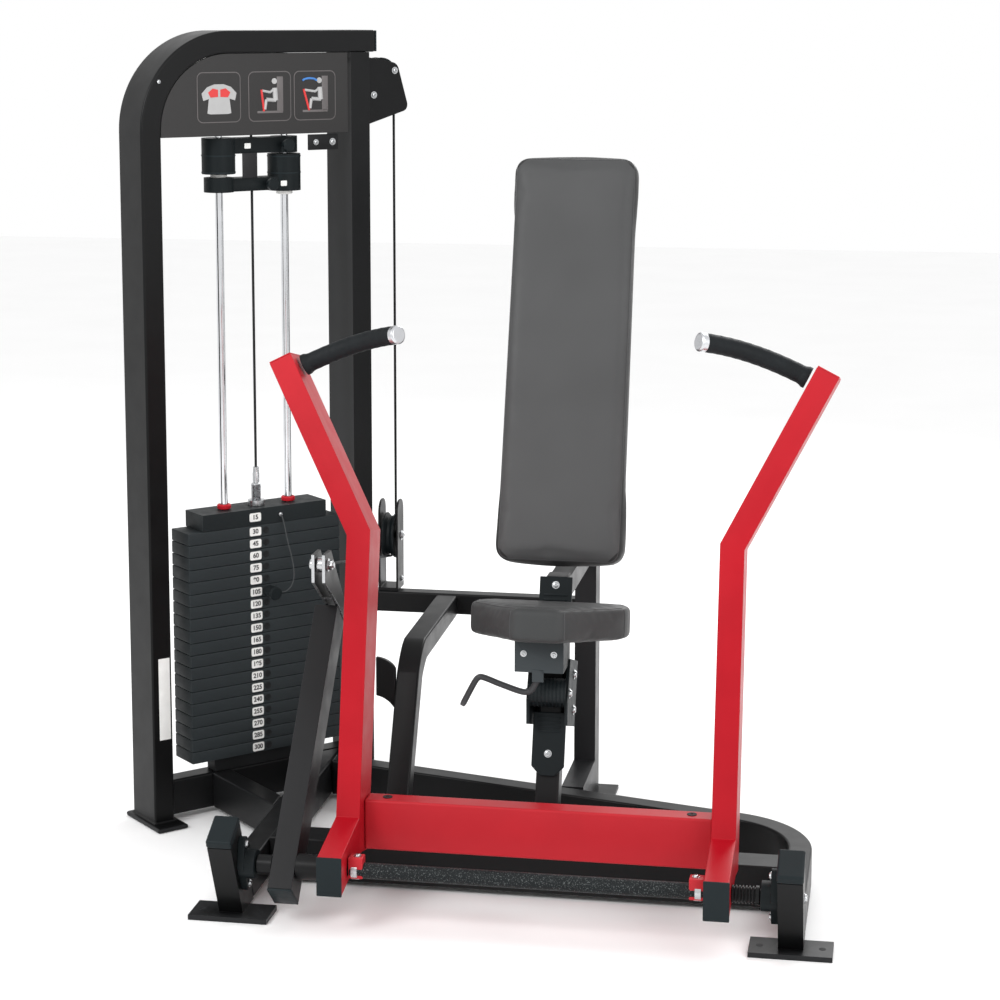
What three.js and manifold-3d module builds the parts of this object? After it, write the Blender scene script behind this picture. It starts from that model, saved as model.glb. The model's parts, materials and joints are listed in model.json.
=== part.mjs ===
// Selectorised chest press machine: a weight tower, a low base, an adjustable seat with a back pad,
// and two press arms that turn on a floor-level shaft and lift the weight stack through a cable.
// Millimetres. +Z up, +Y towards the back pad, the user faces -Y.
import * as THREE from 'three';
import { mergeVertices } from 'three/addons/utils/BufferGeometryUtils.js';
import Module from 'manifold-3d';

const wasm = await Module();
wasm.setup();

// ---------------------------------------------------------------- driving dimensions
const DEG = Math.PI / 180;
const GAP = 0.3;                     // clearance between pieces that touch
const TUBE = 50;                     // width of every frame tube
const FLOOR_GAP = 12;                // base tubes run this high above the floor
const BASE_TOP = 95;                 // top of the base tubes
const POST_LEAN = 25.7 * DEG;        // front posts lean back by this angle
const SIDES = 24;                    // facets of a round part

const FOOT_X = { left: -575, right: 569 };       // centre planes of the two front posts
const CENTRE_X = 38;                             // centre plane of seat, pads and press arms
const PIVOT = { y: 0, z: 120, r: 12.5, hole: 13 };

// The tower stands in a vertical plane turned 45 degrees. Its own axes are t (along the plane),
// n (through the plane, away from the user's side) and z.
const TOWER = { x: -895, y: 501, turn: 45 * DEG, height: 1800, depth: 110, bend: 220 };
const REAR_UPRIGHT = { from: 540, to: 590 };
const BEAM_END = 607;                            // the top beam overhangs the rear upright
const BOTTOM_BEAM = { n0: 30, n1: 80 };

const STACK = {
  t: 303, n: 50, width: 400, depth: 84, pitch: 28.5, plate: 28, z: 130,
  resting: 13, lifted: 6, rodSpacing: 170, rodRadius: 9, rodHole: 10.5,
  headWidth: 326, headThickness: 38, selectorRadius: 11, selectorHole: 12.2,
};
const ADDON = { half: 24, cableHole: 13, knob: { t: 330, z: 1455 } };
const CABLE = { r: 3, down: 688 };               // radius, and where the rear run comes down
const PULLEY = { top: 42, low: 50, lip: 4, width: 28, bore: 8.5, axle: 8 };
const TOP_PULLEY_Z = 1690;
const ROD_TOP = 1626;                            // the guide rods end in the front pulley bracket
const LOWER_PULLEY_Z = 601;

const ARM = {
  halfSpan: 388, width: TUBE, depth: 100, lean: 11.5 * DEG, bendZ: 770, splay: 27 * DEG, topZ: 1121,
  noseY: -60, noseLow: 85, noseHigh: 164, kneeY: 104, kneeZ: 194,
};
const LEVER = { x: -456, depth: 75, foot: [-52, 90], top: [367, 576] };
const CLEVIS = { bolt: [275, 686], slot: 16, width: 30 };
const SEAT_LEAN = 17 * DEG;
const RAIL = { y: 313, z: 287, low: 103, high: 645, tube: 50 };
const SEAT = {
  front: 130, frontZ: 576, thick: 68, tilt: 10 * DEG, noseHalf: 48, half: 170, shoulder: 165, deep: 245,
};
const BACK = { y: 426, z: 668, width: 285, length: 905, thick: 65, lean: 16.6 * DEG };
const UPRIGHT = { y0: 885, y1: 955, half: 25, top: 1420 };
const REAR_BEAM = { y0: 930, y1: 980, z0: 422, z1: 472 };

// ---------------------------------------------------------------- materials
function finish(color, roughness, metalness) {
  return new THREE.MeshStandardMaterial({ color, roughness, metalness });
}
const BLACK_PAINT = finish('#141516', 0.45, 0.3);
const RED_PAINT = finish('#b8202a', 0.4, 0.2);
const GREY_PAINT = finish('#303032', 0.45, 0.3);
const DARK_PLATE = finish('#1a2023', 0.5, 0.2);
const PLASTIC = finish('#23292b', 0.6, 0);
const RUBBER = finish('#16191a', 0.8, 0);
const VINYL_GREY = finish('#5c5c5c', 0.6, 0);
const VINYL_DARK = finish('#3c3c3e', 0.6, 0);
const CHROME = finish('#d0d3d6', 0.12, 1);
const STEEL = finish('#a9adb0', 0.35, 1);
const ALUMINIUM = finish('#c4c8cb', 0.35, 1);

// ---------------------------------------------------------------- solids and booleans
function toSolid(geometry) {
  const bare = geometry.clone();
  bare.deleteAttribute('normal');
  bare.deleteAttribute('uv');
  const merged = mergeVertices(bare, 1e-4);
  return new wasm.Manifold(new wasm.Mesh({
    numProp: 3,
    vertProperties: new Float32Array(merged.attributes.position.array),
    triVerts: new Uint32Array(merged.index.array),
  }));
}

function toGeometry(solid) {
  const mesh = solid.getMesh();
  const geometry = new THREE.BufferGeometry();
  geometry.setAttribute('position', new THREE.BufferAttribute(mesh.vertProperties, mesh.numProp));
  geometry.setIndex(new THREE.BufferAttribute(mesh.triVerts, 1));
  geometry.computeVertexNormals();
  return geometry;
}

function join(...pieces) {
  return toGeometry(pieces.map(toSolid).reduce((a, b) => a.add(b)));
}

function cut(body, ...tools) {
  return toGeometry(tools.map(toSolid).reduce((a, b) => a.subtract(b), toSolid(body)));
}

function box(x0, x1, y0, y1, z0, z1) {
  const geometry = new THREE.BoxGeometry(x1 - x0, y1 - y0, z1 - z0);
  return geometry.translate((x0 + x1) / 2, (y0 + y1) / 2, (z0 + z1) / 2);
}

function shapeOf(points) {
  return new THREE.Shape(points.map(([a, b]) => new THREE.Vector2(a, b)));
}

function asShape(outline) {
  return outline instanceof THREE.Shape ? outline : shapeOf(outline);
}

function extrude(outline, depth, curveSegments = 8) {
  return new THREE.ExtrudeGeometry(asShape(outline), { depth, bevelEnabled: false, curveSegments });
}

// An outline in (Y, Z), run along X.
function alongX(outline, x0, x1) {
  const turn = new THREE.Matrix4().makeBasis(
    new THREE.Vector3(0, 1, 0), new THREE.Vector3(0, 0, 1), new THREE.Vector3(1, 0, 0));
  return extrude(outline, x1 - x0).applyMatrix4(turn).translate(x0, 0, 0);
}

// An outline in (X, Z), run along Y.
function alongY(outline, y0, y1, curveSegments) {
  return extrude(outline, y1 - y0, curveSegments).rotateX(Math.PI / 2).translate(0, y1, 0);
}

// An outline in (X, Y), run along Z.
function alongZ(outline, z0, z1) {
  return extrude(outline, z1 - z0).translate(0, 0, z0);
}

function rodZ(r, z0, z1, x = 0, y = 0, sides = SIDES) {
  return new THREE.CylinderGeometry(r, r, z1 - z0, sides).rotateX(Math.PI / 2).translate(x, y, (z0 + z1) / 2);
}

function rodX(r, x0, x1, y, z, sides = SIDES) {
  const bar = new THREE.CylinderGeometry(r, r, x1 - x0, sides).rotateZ(-Math.PI / 2);
  return bar.translate((x0 + x1) / 2, y, z);
}

function rodY(r, y0, y1, x, z, sides = SIDES) {
  return new THREE.CylinderGeometry(r, r, y1 - y0, sides).translate(x, (y0 + y1) / 2, z);
}

// A turned piece: profile of [radius, height] pairs that starts and ends on the axis or closes.
function turned(profile, sides = SIDES) {
  return new THREE.LatheGeometry(profile.map(([r, h]) => new THREE.Vector2(r, h)), sides);
}

function tubeAlong(curve, radius, sides, steps) {
  const ring = Array.from({ length: sides }, (_, i) => {
    const angle = (i / sides) * 2 * Math.PI;
    return [radius * Math.cos(angle), radius * Math.sin(angle)];
  });
  return new THREE.ExtrudeGeometry(shapeOf(ring), { extrudePath: curve, steps, bevelEnabled: false });
}

function smoothPath(points) {
  return new THREE.CatmullRomCurve3(points.map((p) => new THREE.Vector3(...p)), false, 'centripetal');
}

// ---------------------------------------------------------------- scene graph
const machine = new THREE.Group();
const tower = new THREE.Group();
tower.position.set(TOWER.x, TOWER.y, 0);
tower.rotation.z = TOWER.turn;
machine.add(tower);

function add(parent, name, geometry, material) {
  const mesh = new THREE.Mesh(geometry, material);
  mesh.name = name;
  parent.add(mesh);
  return mesh;
}

function towerPoint(t, n) {
  const c = Math.cos(TOWER.turn);
  const s = Math.sin(TOWER.turn);
  return [TOWER.x + c * t - s * n, TOWER.y + s * t + c * n];
}

// ---------------------------------------------------------------- tower frame
function hoopOutline() {
  const arcZ = TOWER.height - TOWER.bend;
  const outline = new THREE.Shape();
  outline.moveTo(0, 8);
  outline.lineTo(TUBE, 8);
  outline.lineTo(TUBE, arcZ);
  outline.absarc(TOWER.bend, arcZ, TOWER.bend - TUBE, Math.PI, Math.PI / 2, true);
  outline.lineTo(BEAM_END, TOWER.height - TUBE);
  outline.lineTo(BEAM_END, TOWER.height);
  outline.lineTo(TOWER.bend, TOWER.height);
  outline.absarc(TOWER.bend, arcZ, TOWER.bend, Math.PI / 2, Math.PI, false);
  outline.closePath();
  return outline;
}

function buildTowerFrame() {
  const foot = box(-12, 65, -39, 125, 0, 10);
  add(tower, 'tower_hoop', join(alongY(hoopOutline(), 0, TOWER.depth, 14), foot), BLACK_PAINT);

  const cableTop = TOP_PULLEY_Z + PULLEY.top;
  const upright = box(REAR_UPRIGHT.from, REAR_UPRIGHT.to, 0, TOWER.depth, 0, TOWER.height - TUBE - GAP);
  const window = box(REAR_UPRIGHT.from - 5, REAR_UPRIGHT.to + 5, STACK.n - 14, STACK.n + 14,
    cableTop - 10, cableTop + 10);
  add(tower, 'tower_rear_upright', cut(upright, window), BLACK_PAINT);

  add(tower, 'tower_bottom_beam',
    box(TUBE + GAP, REAR_UPRIGHT.from - GAP, BOTTOM_BEAM.n0, BOTTOM_BEAM.n1, FLOOR_GAP, BASE_TOP),
    BLACK_PAINT);

  for (const [side, sign] of [['left', -1], ['right', 1]]) {
    const t = STACK.t + (sign * STACK.rodSpacing) / 2;
    add(tower, `guide_rod_${side}`,
      rodZ(STACK.rodRadius, BASE_TOP + GAP, ROD_TOP - GAP, t, STACK.n), CHROME);
  }
}

// The placard fills the top corner of the hoop and follows its inside radius.
function buildPlacard() {
  const arcZ = TOWER.height - TOWER.bend;
  const radius = TOWER.bend - TUBE - 0.5;
  const low = 1567;
  const right = 533;
  const outline = new THREE.Shape();
  outline.moveTo(TOWER.bend - radius, low);
  outline.lineTo(right, low);
  outline.lineTo(right, arcZ + radius);
  outline.lineTo(TOWER.bend, arcZ + radius);
  outline.absarc(TOWER.bend, arcZ, radius, Math.PI / 2, Math.PI, false);
  outline.closePath();
  add(tower, 'placard', alongY(outline, 3, 8), PLASTIC);
}

// ---------------------------------------------------------------- weight stack
function stackHoles(z0, z1) {
  const half = STACK.rodSpacing / 2;
  return [
    rodZ(STACK.rodHole, z0 - 2, z1 + 2, STACK.t - half, STACK.n),
    rodZ(STACK.rodHole, z0 - 2, z1 + 2, STACK.t + half, STACK.n),
    rodZ(STACK.selectorHole, z0 - 2, z1 + 2, STACK.t, STACK.n),
  ];
}

// Plates first to last of the stack as one solid, with a groove between neighbours.
function plateBlock(first, count) {
  const n0 = STACK.n - STACK.depth / 2;
  const n1 = STACK.n + STACK.depth / 2;
  const groove = 1.5;
  const front = [];
  for (let i = 0; i < count; i += 1) {
    const low = STACK.z + (first + i) * STACK.pitch;
    front.push([n0, low], [n0, low + STACK.plate]);
    if (i < count - 1) {
      front.push([n0 + groove, low + STACK.plate], [n0 + groove, low + STACK.pitch]);
    }
  }
  const back = front.map(([n, z]) => [n0 + n1 - n, z]).reverse();
  return alongX([...back, ...front], STACK.t - STACK.width / 2, STACK.t + STACK.width / 2);
}

function buildStack() {
  const { z, pitch, resting, lifted } = STACK;
  const split = z + resting * pitch;
  const top = split + lifted * pitch;
  add(tower, 'resting_plates', cut(plateBlock(0, resting), ...stackHoles(z, split)), DARK_PLATE);

  const pinZ = split + STACK.plate / 2 + 0.25;
  const front = STACK.n - STACK.depth / 2;
  const pinHole = rodY(5.6, front - 5, STACK.n, STACK.t, pinZ);
  const liftedBlock = plateBlock(resting, lifted);
  add(tower, 'lifted_plates', cut(liftedBlock, ...stackHoles(split, top), pinHole), DARK_PLATE);

  const headTop = top + STACK.headThickness;
  const head = box(STACK.t - STACK.headWidth / 2, STACK.t + STACK.headWidth / 2,
    front, front + STACK.depth, top, headTop);
  add(tower, 'head_plate', cut(head, ...stackHoles(top, headTop)), DARK_PLATE);

  const rodLow = z + 20;
  add(tower, 'selector_rod', turned([
    [0, rodLow], [STACK.selectorRadius, rodLow], [STACK.selectorRadius, headTop + GAP],
    [20, headTop + GAP], [20, headTop + 12], [12, headTop + 12], [12, headTop + 48],
    [8, headTop + 48], [8, headTop + 90], [0, headTop + 90],
  ]).rotateX(Math.PI / 2).translate(STACK.t, STACK.n, 0), STEEL);

  const cableLow = headTop + 90 + GAP;
  add(tower, 'tower_cable', rodZ(CABLE.r, cableLow, TOP_PULLEY_Z, STACK.t, STACK.n, 8), RUBBER);

  add(tower, 'stack_bumper', cut(
    box(STACK.t - 130, STACK.t + 130, STACK.n - 18, STACK.n + 18, BASE_TOP + GAP, z - GAP),
    ...stackHoles(BASE_TOP, z)), RUBBER);

  buildSelectorPin(pinZ, front, headTop);
}

// The pin's shank points away from the user's side. Its lanyard hangs from the head plate and ends
// beside the knob, far enough from the pin's axis that the knob slides past it.
function buildSelectorPin(pinZ, front, headTop) {
  const shankEnd = STACK.n - STACK.selectorRadius - 1;
  add(tower, 'selector_pin', turned([
    [0, shankEnd], [4.8, shankEnd], [4.8, front - 2], [11, front - 2], [15, front - 10],
    [16, front - 40], [13, front - 47], [0, front - 47],
  ].reverse()).translate(STACK.t, 0, pinZ), PLASTIC);

  const { t } = STACK;
  const z = headTop - 20;
  add(tower, 'pin_lanyard', tubeAlong(smoothPath([
    [t + 40, front - 2.5, z], [t + 41, front - 8, z - 8], [t + 44, front - 13, z - 30],
    [t + 48, front - 17, z - 60], [t + 54, front - 22, z - 92], [t + 58, front - 26, z - 122],
    [t + 57, front - 29, z - 146], [t + 49, front - 31, z - 165], [t + 37, front - 31, z - 175],
    [t + 27, front - 30, z - 177], [t + 18.5, front - 29, z - 177],
  ]), 1.5, 8, 56), PLASTIC);
}

// ---------------------------------------------------------------- add-on weights
// Each is a narrow plate across both guide rods, with a round boss on each rod.
function addonWeight(low, high, bosses) {
  const half = STACK.rodSpacing / 2;
  const slab = box(STACK.t - half, STACK.t + half, STACK.n - ADDON.half, STACK.n + ADDON.half, low, high);
  const rounds = bosses.map(([side, r, z0, z1]) => rodZ(r, z0, z1, STACK.t + side * half, STACK.n, 32));
  const drill = (r, t) => rodZ(r, low - 90, high + 90, t, STACK.n);
  const rodHoles = [-half, half].map((offset) => drill(STACK.rodHole, STACK.t + offset));
  return cut(join(slab, ...rounds), ...rodHoles, drill(ADDON.cableHole, STACK.t));
}

function buildAddons() {
  add(tower, 'addon_upper', addonWeight(1525, 1560, [[-1, 38, 1480, 1561], [1, 31, 1524, 1561]]), PLASTIC);
  const lower = addonWeight(1440, 1470, [[-1, 34, 1439, 1472], [1, 38, 1437, 1521]]);
  const front = STACK.n - ADDON.half;
  const { t, z } = ADDON.knob;
  add(tower, 'addon_lower', cut(lower, rodY(4.4, front - 5, front + 11, t, z)), PLASTIC);
  add(tower, 'addon_knob', turned([
    [0, front + 9], [4, front + 9], [4, front - 12.5], [10, front - 12.5], [14, front - 20],
    [14, front - 32], [0, front - 32],
  ].reverse()).translate(t, 0, z), PLASTIC);
}

// ---------------------------------------------------------------- pulleys, guards and cable
// Grooved wheel about the Y axis of its parent.
function pulleyWheel(radius) {
  const half = PULLEY.width / 2;
  const floor = radius - CABLE.r - 1;
  const rim = radius + PULLEY.lip;
  return turned([
    [PULLEY.bore, -half], [rim, -half], [rim, -half + 4], [floor, -3], [floor, 3],
    [rim, half - 4], [rim, half], [PULLEY.bore, half], [PULLEY.bore, -half],
  ], 32);
}

// Two cheeks and a web, cut from a block by a slot; the outline is in the wheel's plane.
function buildUpperPulleys() {
  const { n, t } = STACK;
  const front = t + PULLEY.top;
  const rear = CABLE.down - PULLEY.top;
  const wheelZ = TOP_PULLEY_Z;
  for (const [name, at] of [['top_pulley_front', front], ['top_pulley_rear', rear]]) {
    add(tower, name, pulleyWheel(PULLEY.top).translate(at, n, wheelZ), PLASTIC);
  }
  const beam = TOWER.height - TUBE - GAP;
  const axle = (at) => rodY(PULLEY.axle, n - 30, n + 30, at, wheelZ);

  // A channel under the top beam holds the front wheel, and the guide rods end in its floor.
  const channel = box(t - 100, t + 100, n - 24, n + 24, ROD_TOP, beam - 1);
  const inside = box(t - 110, t + 110, n - 19, n + 19, ROD_TOP + 8, beam - 6);
  const cableDrop = rodZ(10, ROD_TOP - 5, ROD_TOP + 15, t, n);
  add(tower, 'front_pulley_bracket', join(cut(channel, inside, cableDrop), axle(front)), BLACK_PAINT);

  const wall = REAR_UPRIGHT.to + GAP;
  const guard = new THREE.Shape();
  guard.moveTo(wall, 1580);
  guard.lineTo(696, 1611);
  guard.quadraticCurveTo(709, 1615, 707, 1630);
  guard.lineTo(683, 1712);
  guard.quadraticCurveTo(679, 1722, 668, 1725);
  guard.lineTo(wall, 1739);
  guard.closePath();
  const guardSlot = box(wall + 4, 740, n - 26, n + 26, 1500, 1800);
  const cableHole = box(wall - 5, wall + 9, n - 12, n + 12, wheelZ + PULLEY.top - 10,
    wheelZ + PULLEY.top + 10);
  add(tower, 'upper_pulley_guard',
    join(cut(alongY(guard, n - 30, n + 30), guardSlot, cableHole), axle(rear)), BLACK_PAINT);
}

function lowerPulleyCentre() {
  const [x, y] = towerPoint(CABLE.down, STACK.n);
  return { x, y: y - PULLEY.low, z: LOWER_PULLEY_Z };
}

// Where the cable leaves the lower wheel's underside on its way to the lever's bolt.
function leverRun() {
  const centre = lowerPulleyCentre();
  const dy = CLEVIS.bolt[0] - centre.y;
  const dz = CLEVIS.bolt[1] - centre.z;
  const span = Math.hypot(dy, dz);
  const angle = Math.atan2(dz, dy) + Math.acos(PULLEY.low / span);
  const y = centre.y + PULLEY.low * Math.cos(angle);
  const z = centre.z + PULLEY.low * Math.sin(angle);
  return { x: centre.x, y, z, angle };
}

function buildLowerPulley() {
  const c = lowerPulleyCentre();
  const wheel = pulleyWheel(PULLEY.low).rotateZ(-Math.PI / 2);
  add(machine, 'lower_pulley', wheel.translate(c.x, c.y, c.z), PLASTIC);
  const low = REAR_BEAM.z1 + GAP;
  const cheek = new THREE.Shape();
  cheek.moveTo(932, low);
  cheek.lineTo(1000, low);
  cheek.lineTo(1000, 660);
  cheek.absarc(970, 660, 30, 0, Math.PI / 2, false);
  cheek.lineTo(962, 690);
  cheek.absarc(962, 660, 30, Math.PI / 2, Math.PI, false);
  cheek.closePath();
  const block = alongX(cheek, c.x - 24, c.x + 24);
  const slot = box(c.x - 19, c.x + 19, 900, 1100, low + 8, 800);
  const axle = rodX(PULLEY.axle, c.x - 30, c.x + 30, c.y, c.z);
  add(machine, 'lower_pulley_bracket', join(cut(block, slot), axle), BLACK_PAINT);
}

// The cable's fixed run: over both top wheels, down behind the tower and round the lower wheel.
function buildFixedCable() {
  const { n, t } = STACK;
  const { top, low } = PULLEY;
  const points = [];
  const arc = (from, to, steps, place) => {
    for (let i = 0; i <= steps; i += 1) {
      const angle = from + ((to - from) * i) / steps;
      points.push(place(Math.cos(angle), Math.sin(angle)));
    }
  };
  const overTop = (centre) => (c, s) => new THREE.Vector3(
    ...towerPoint(centre + top * c, n), TOP_PULLEY_Z + top * s);
  arc(Math.PI - 0.02, Math.PI / 2, 8, overTop(t + top));
  arc(Math.PI / 2, 0, 8, overTop(CABLE.down - top));
  const centre = lowerPulleyCentre();
  arc(0, leverRun().angle - 2 * Math.PI, 10,
    (c, s) => new THREE.Vector3(centre.x, centre.y + low * c, centre.z + low * s));
  add(machine, 'upper_cable', barThrough(points, CABLE.r, 8), RUBBER);
}

// A round bar through a list of points, with one ring of vertices at each point.
function barThrough(points, radius, sides) {
  const rings = points.map((point, i) => {
    const before = points[Math.max(i - 1, 0)];
    const after = points[Math.min(i + 1, points.length - 1)];
    const forward = after.clone().sub(before).normalize();
    return { point, forward };
  });
  let side = new THREE.Vector3(1, -1, 0).normalize();
  const positions = [];
  rings.forEach(({ point, forward }) => {
    side = side.sub(forward.clone().multiplyScalar(side.dot(forward))).normalize();
    const other = forward.clone().cross(side);
    for (let k = 0; k < sides; k += 1) {
      const a = (k / sides) * 2 * Math.PI;
      const p = point.clone().addScaledVector(side, radius * Math.cos(a))
        .addScaledVector(other, radius * Math.sin(a));
      positions.push(p.x, p.y, p.z);
    }
  });
  const index = [];
  for (let i = 0; i < rings.length - 1; i += 1) {
    for (let k = 0; k < sides; k += 1) {
      const a = i * sides + k;
      const b = i * sides + ((k + 1) % sides);
      index.push(a, b, b + sides, a, b + sides, a + sides);
    }
  }
  const last = (rings.length - 1) * sides;
  for (let k = 1; k < sides - 1; k += 1) {
    index.push(0, k + 1, k);
    index.push(last, last + k, last + k + 1);
  }
  const geometry = new THREE.BufferGeometry();
  geometry.setAttribute('position', new THREE.Float32BufferAttribute(positions, 3));
  geometry.setIndex(index);
  geometry.computeVertexNormals();
  return geometry;
}

// ---------------------------------------------------------------- base
const footX = (side) => FOOT_X[side];

function buildPost(side) {
  const x = footX(side);
  const lean = POST_LEAN;
  const depth = 75;
  const up = [-Math.sin(lean), Math.cos(lean)];
  const back = [Math.cos(lean), Math.sin(lean)];
  const move = (p, d, by) => [p[0] + d[0] * by, p[1] + d[1] * by];
  const low = [7, 10];
  const lowBack = [7 + depth / Math.cos(lean), 10];
  const high = [-71, 172];
  const highBack = move(high, back, depth);
  const body = alongX([low, lowBack, highBack, high], x - TUBE / 2, x + TUBE / 2);
  const plate = box(x - 83, x + 83, -24, 61, 0, 10.5);
  add(machine, `${side}_post`, join(body, plate), BLACK_PAINT);

  const capLow = move(high, up, GAP);
  const capLowBack = move(highBack, up, GAP);
  const cap = [move(capLow, back, -1.5), move(capLowBack, back, 1.5),
    move(move(capLowBack, back, 1.5), up, 20), move(move(capLow, back, -1.5), up, 20)];
  add(machine, `${side}_post_cap`, alongX(cap, x - TUBE / 2 - 1.5, x + TUBE / 2 + 1.5), PLASTIC);
}

// Two-bolt flange bearing on the post's inner face.
function buildBearing(side) {
  const inward = side === 'left' ? 1 : -1;
  const wall = footX(side) + inward * (TUBE / 2 + GAP);
  const flange = new THREE.Shape();
  const tilt = 12 * DEG;
  const r = 15;
  const reach = 46;
  const lobe = (sign) => [PIVOT.y + sign * reach * Math.sin(-tilt), PIVOT.z + sign * reach * Math.cos(tilt)];
  const [topLobe, lowLobe] = [lobe(1), lobe(-1)];
  flange.absarc(topLobe[0], topLobe[1], r, 25 * DEG, 155 * DEG, false);
  flange.lineTo(PIVOT.y - 33, PIVOT.z);
  flange.absarc(lowLobe[0], lowLobe[1], r, 205 * DEG, 335 * DEG, false);
  flange.lineTo(PIVOT.y + 33, PIVOT.z);
  flange.closePath();
  const span = (a, b) => [wall + inward * a, wall + inward * b].sort((p, q) => p - q);
  const [p0, p1] = span(0, 14);
  const [b0, b1] = span(0, 34);
  const [h0, h1] = span(-5, 40);
  add(machine, `${side}_bearing`, cut(join(alongX(flange, p0, p1), rodX(30, b0, b1, PIVOT.y, PIVOT.z)),
    rodX(PIVOT.hole, h0, h1, PIVOT.y, PIVOT.z)), PLASTIC);
}

function buildBaseTubes() {
  const left = FOOT_X.left;
  const right = FOOT_X.right;
  const inner = { left: left + TUBE / 2, right: right - TUBE / 2 };
  // Tubes start behind the leaning posts, so their front ends slant.
  const start = { low: 92, high: 52 };
  const leftTube = alongX([[start.low, FLOOR_GAP], [900, FLOOR_GAP], [900, BASE_TOP], [start.high, BASE_TOP]],
    left - TUBE / 2, left + TUBE / 2);
  const beyond = box(-400, 900, BOTTOM_BEAM.n0 - GAP, 900, -50, 300)
    .applyMatrix4(tower.matrixWorld);
  add(machine, 'left_base_tube', cut(leftTube, beyond), BLACK_PAINT);

  add(machine, 'cross_tube', box(inner.left + GAP, inner.right - GAP, 215, 295, FLOOR_GAP, 102), BLACK_PAINT);

  // Short diagonal tube between the left base tube and the front of the tower.
  const brace = box(165, 215, -260, BOTTOM_BEAM.n0 - GAP, FLOOR_GAP, BASE_TOP)
    .applyMatrix4(tower.matrixWorld);
  const rightOfTube = box(left - TUBE / 2 - GAP, 0, 0, 1500, -50, 300);
  add(machine, 'tower_brace_tube', cut(brace, rightOfTube), BLACK_PAINT);

  // The right base tube bends round the back of the seat and runs to the left base tube.
  const slope = 14.8 * DEG;
  const bend = 220;
  const outer = right + TUBE / 2;
  const arcY = 358;
  const path = new THREE.Shape();
  const end = left + TUBE / 2 + GAP;
  const arcX = outer - bend;
  const turnTo = Math.PI / 2 - slope;
  const far = [arcX + bend * Math.cos(turnTo), arcY + bend * Math.sin(turnTo)];
  const near = [arcX + (bend - TUBE) * Math.cos(turnTo), arcY + (bend - TUBE) * Math.sin(turnTo)];
  const rise = (x, from) => from[1] + (from[0] - x) * Math.tan(slope);
  path.moveTo(outer, 40);
  path.lineTo(outer, arcY);
  path.absarc(arcX, arcY, bend, 0, turnTo, false);
  path.lineTo(end, rise(end, far));
  path.lineTo(end, rise(end, near));
  path.lineTo(near[0], near[1]);
  path.absarc(arcX, arcY, bend - TUBE, turnTo, 0, true);
  path.lineTo(outer - TUBE, 40);
  path.closePath();
  const blank = alongZ(path, FLOOR_GAP, BASE_TOP);
  const overrun = 50;
  const slant = overrun * Math.tan(POST_LEAN);
  const postRoom = alongX([[-200, FLOOR_GAP - overrun], [start.low + slant, FLOOR_GAP - overrun],
    [start.high - slant, BASE_TOP + overrun], [-200, BASE_TOP + overrun]], right - 60, right + 60);
  add(machine, 'curved_base_tube', cut(blank, postRoom), BLACK_PAINT);
  return { near, slope };
}

// ---------------------------------------------------------------- rear frame
function buildRearFrame(curve) {
  const x0 = CENTRE_X - UPRIGHT.half;
  const x1 = CENTRE_X + UPRIGHT.half;
  const tubeBack = curve.near[1] + (curve.near[0] - CENTRE_X + UPRIGHT.half) * Math.tan(curve.slope)
    + TUBE / Math.cos(curve.slope) + 1;
  const railBack = RAIL.tube / Math.cos(SEAT_LEAN);
  const railY = (z) => RAIL.y + (z - RAIL.z) * Math.tan(SEAT_LEAN) + railBack + 1;
  const tie = alongX([[railY(590), 590], [UPRIGHT.y0 + 5, 590], [UPRIGHT.y0 + 5, 636], [railY(636), 636]],
    x0 + 2, x1 - 2);
  add(machine, 'back_upright', join(
    box(x0, x1, UPRIGHT.y0, UPRIGHT.y1, 5, UPRIGHT.top),
    box(CENTRE_X - 40, CENTRE_X + 70, UPRIGHT.y0 - 20, UPRIGHT.y1 + 25, 0, 8),
    box(x0, x1, tubeBack, UPRIGHT.y0 + 5, FLOOR_GAP, BASE_TOP),
    tie,
  ), BLACK_PAINT);

  const beam = box(-620, x0 - GAP, REAR_BEAM.y0, REAR_BEAM.y1 - 8, REAR_BEAM.z0, REAR_BEAM.z1);
  const towerSide = box(-300, REAR_UPRIGHT.to + GAP, -400, 500, 0, 1800).applyMatrix4(tower.matrixWorld);
  add(machine, 'rear_beam', cut(beam, towerSide), BLACK_PAINT);

  buildCurvedBrace();
  buildBackPad();
}

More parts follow.
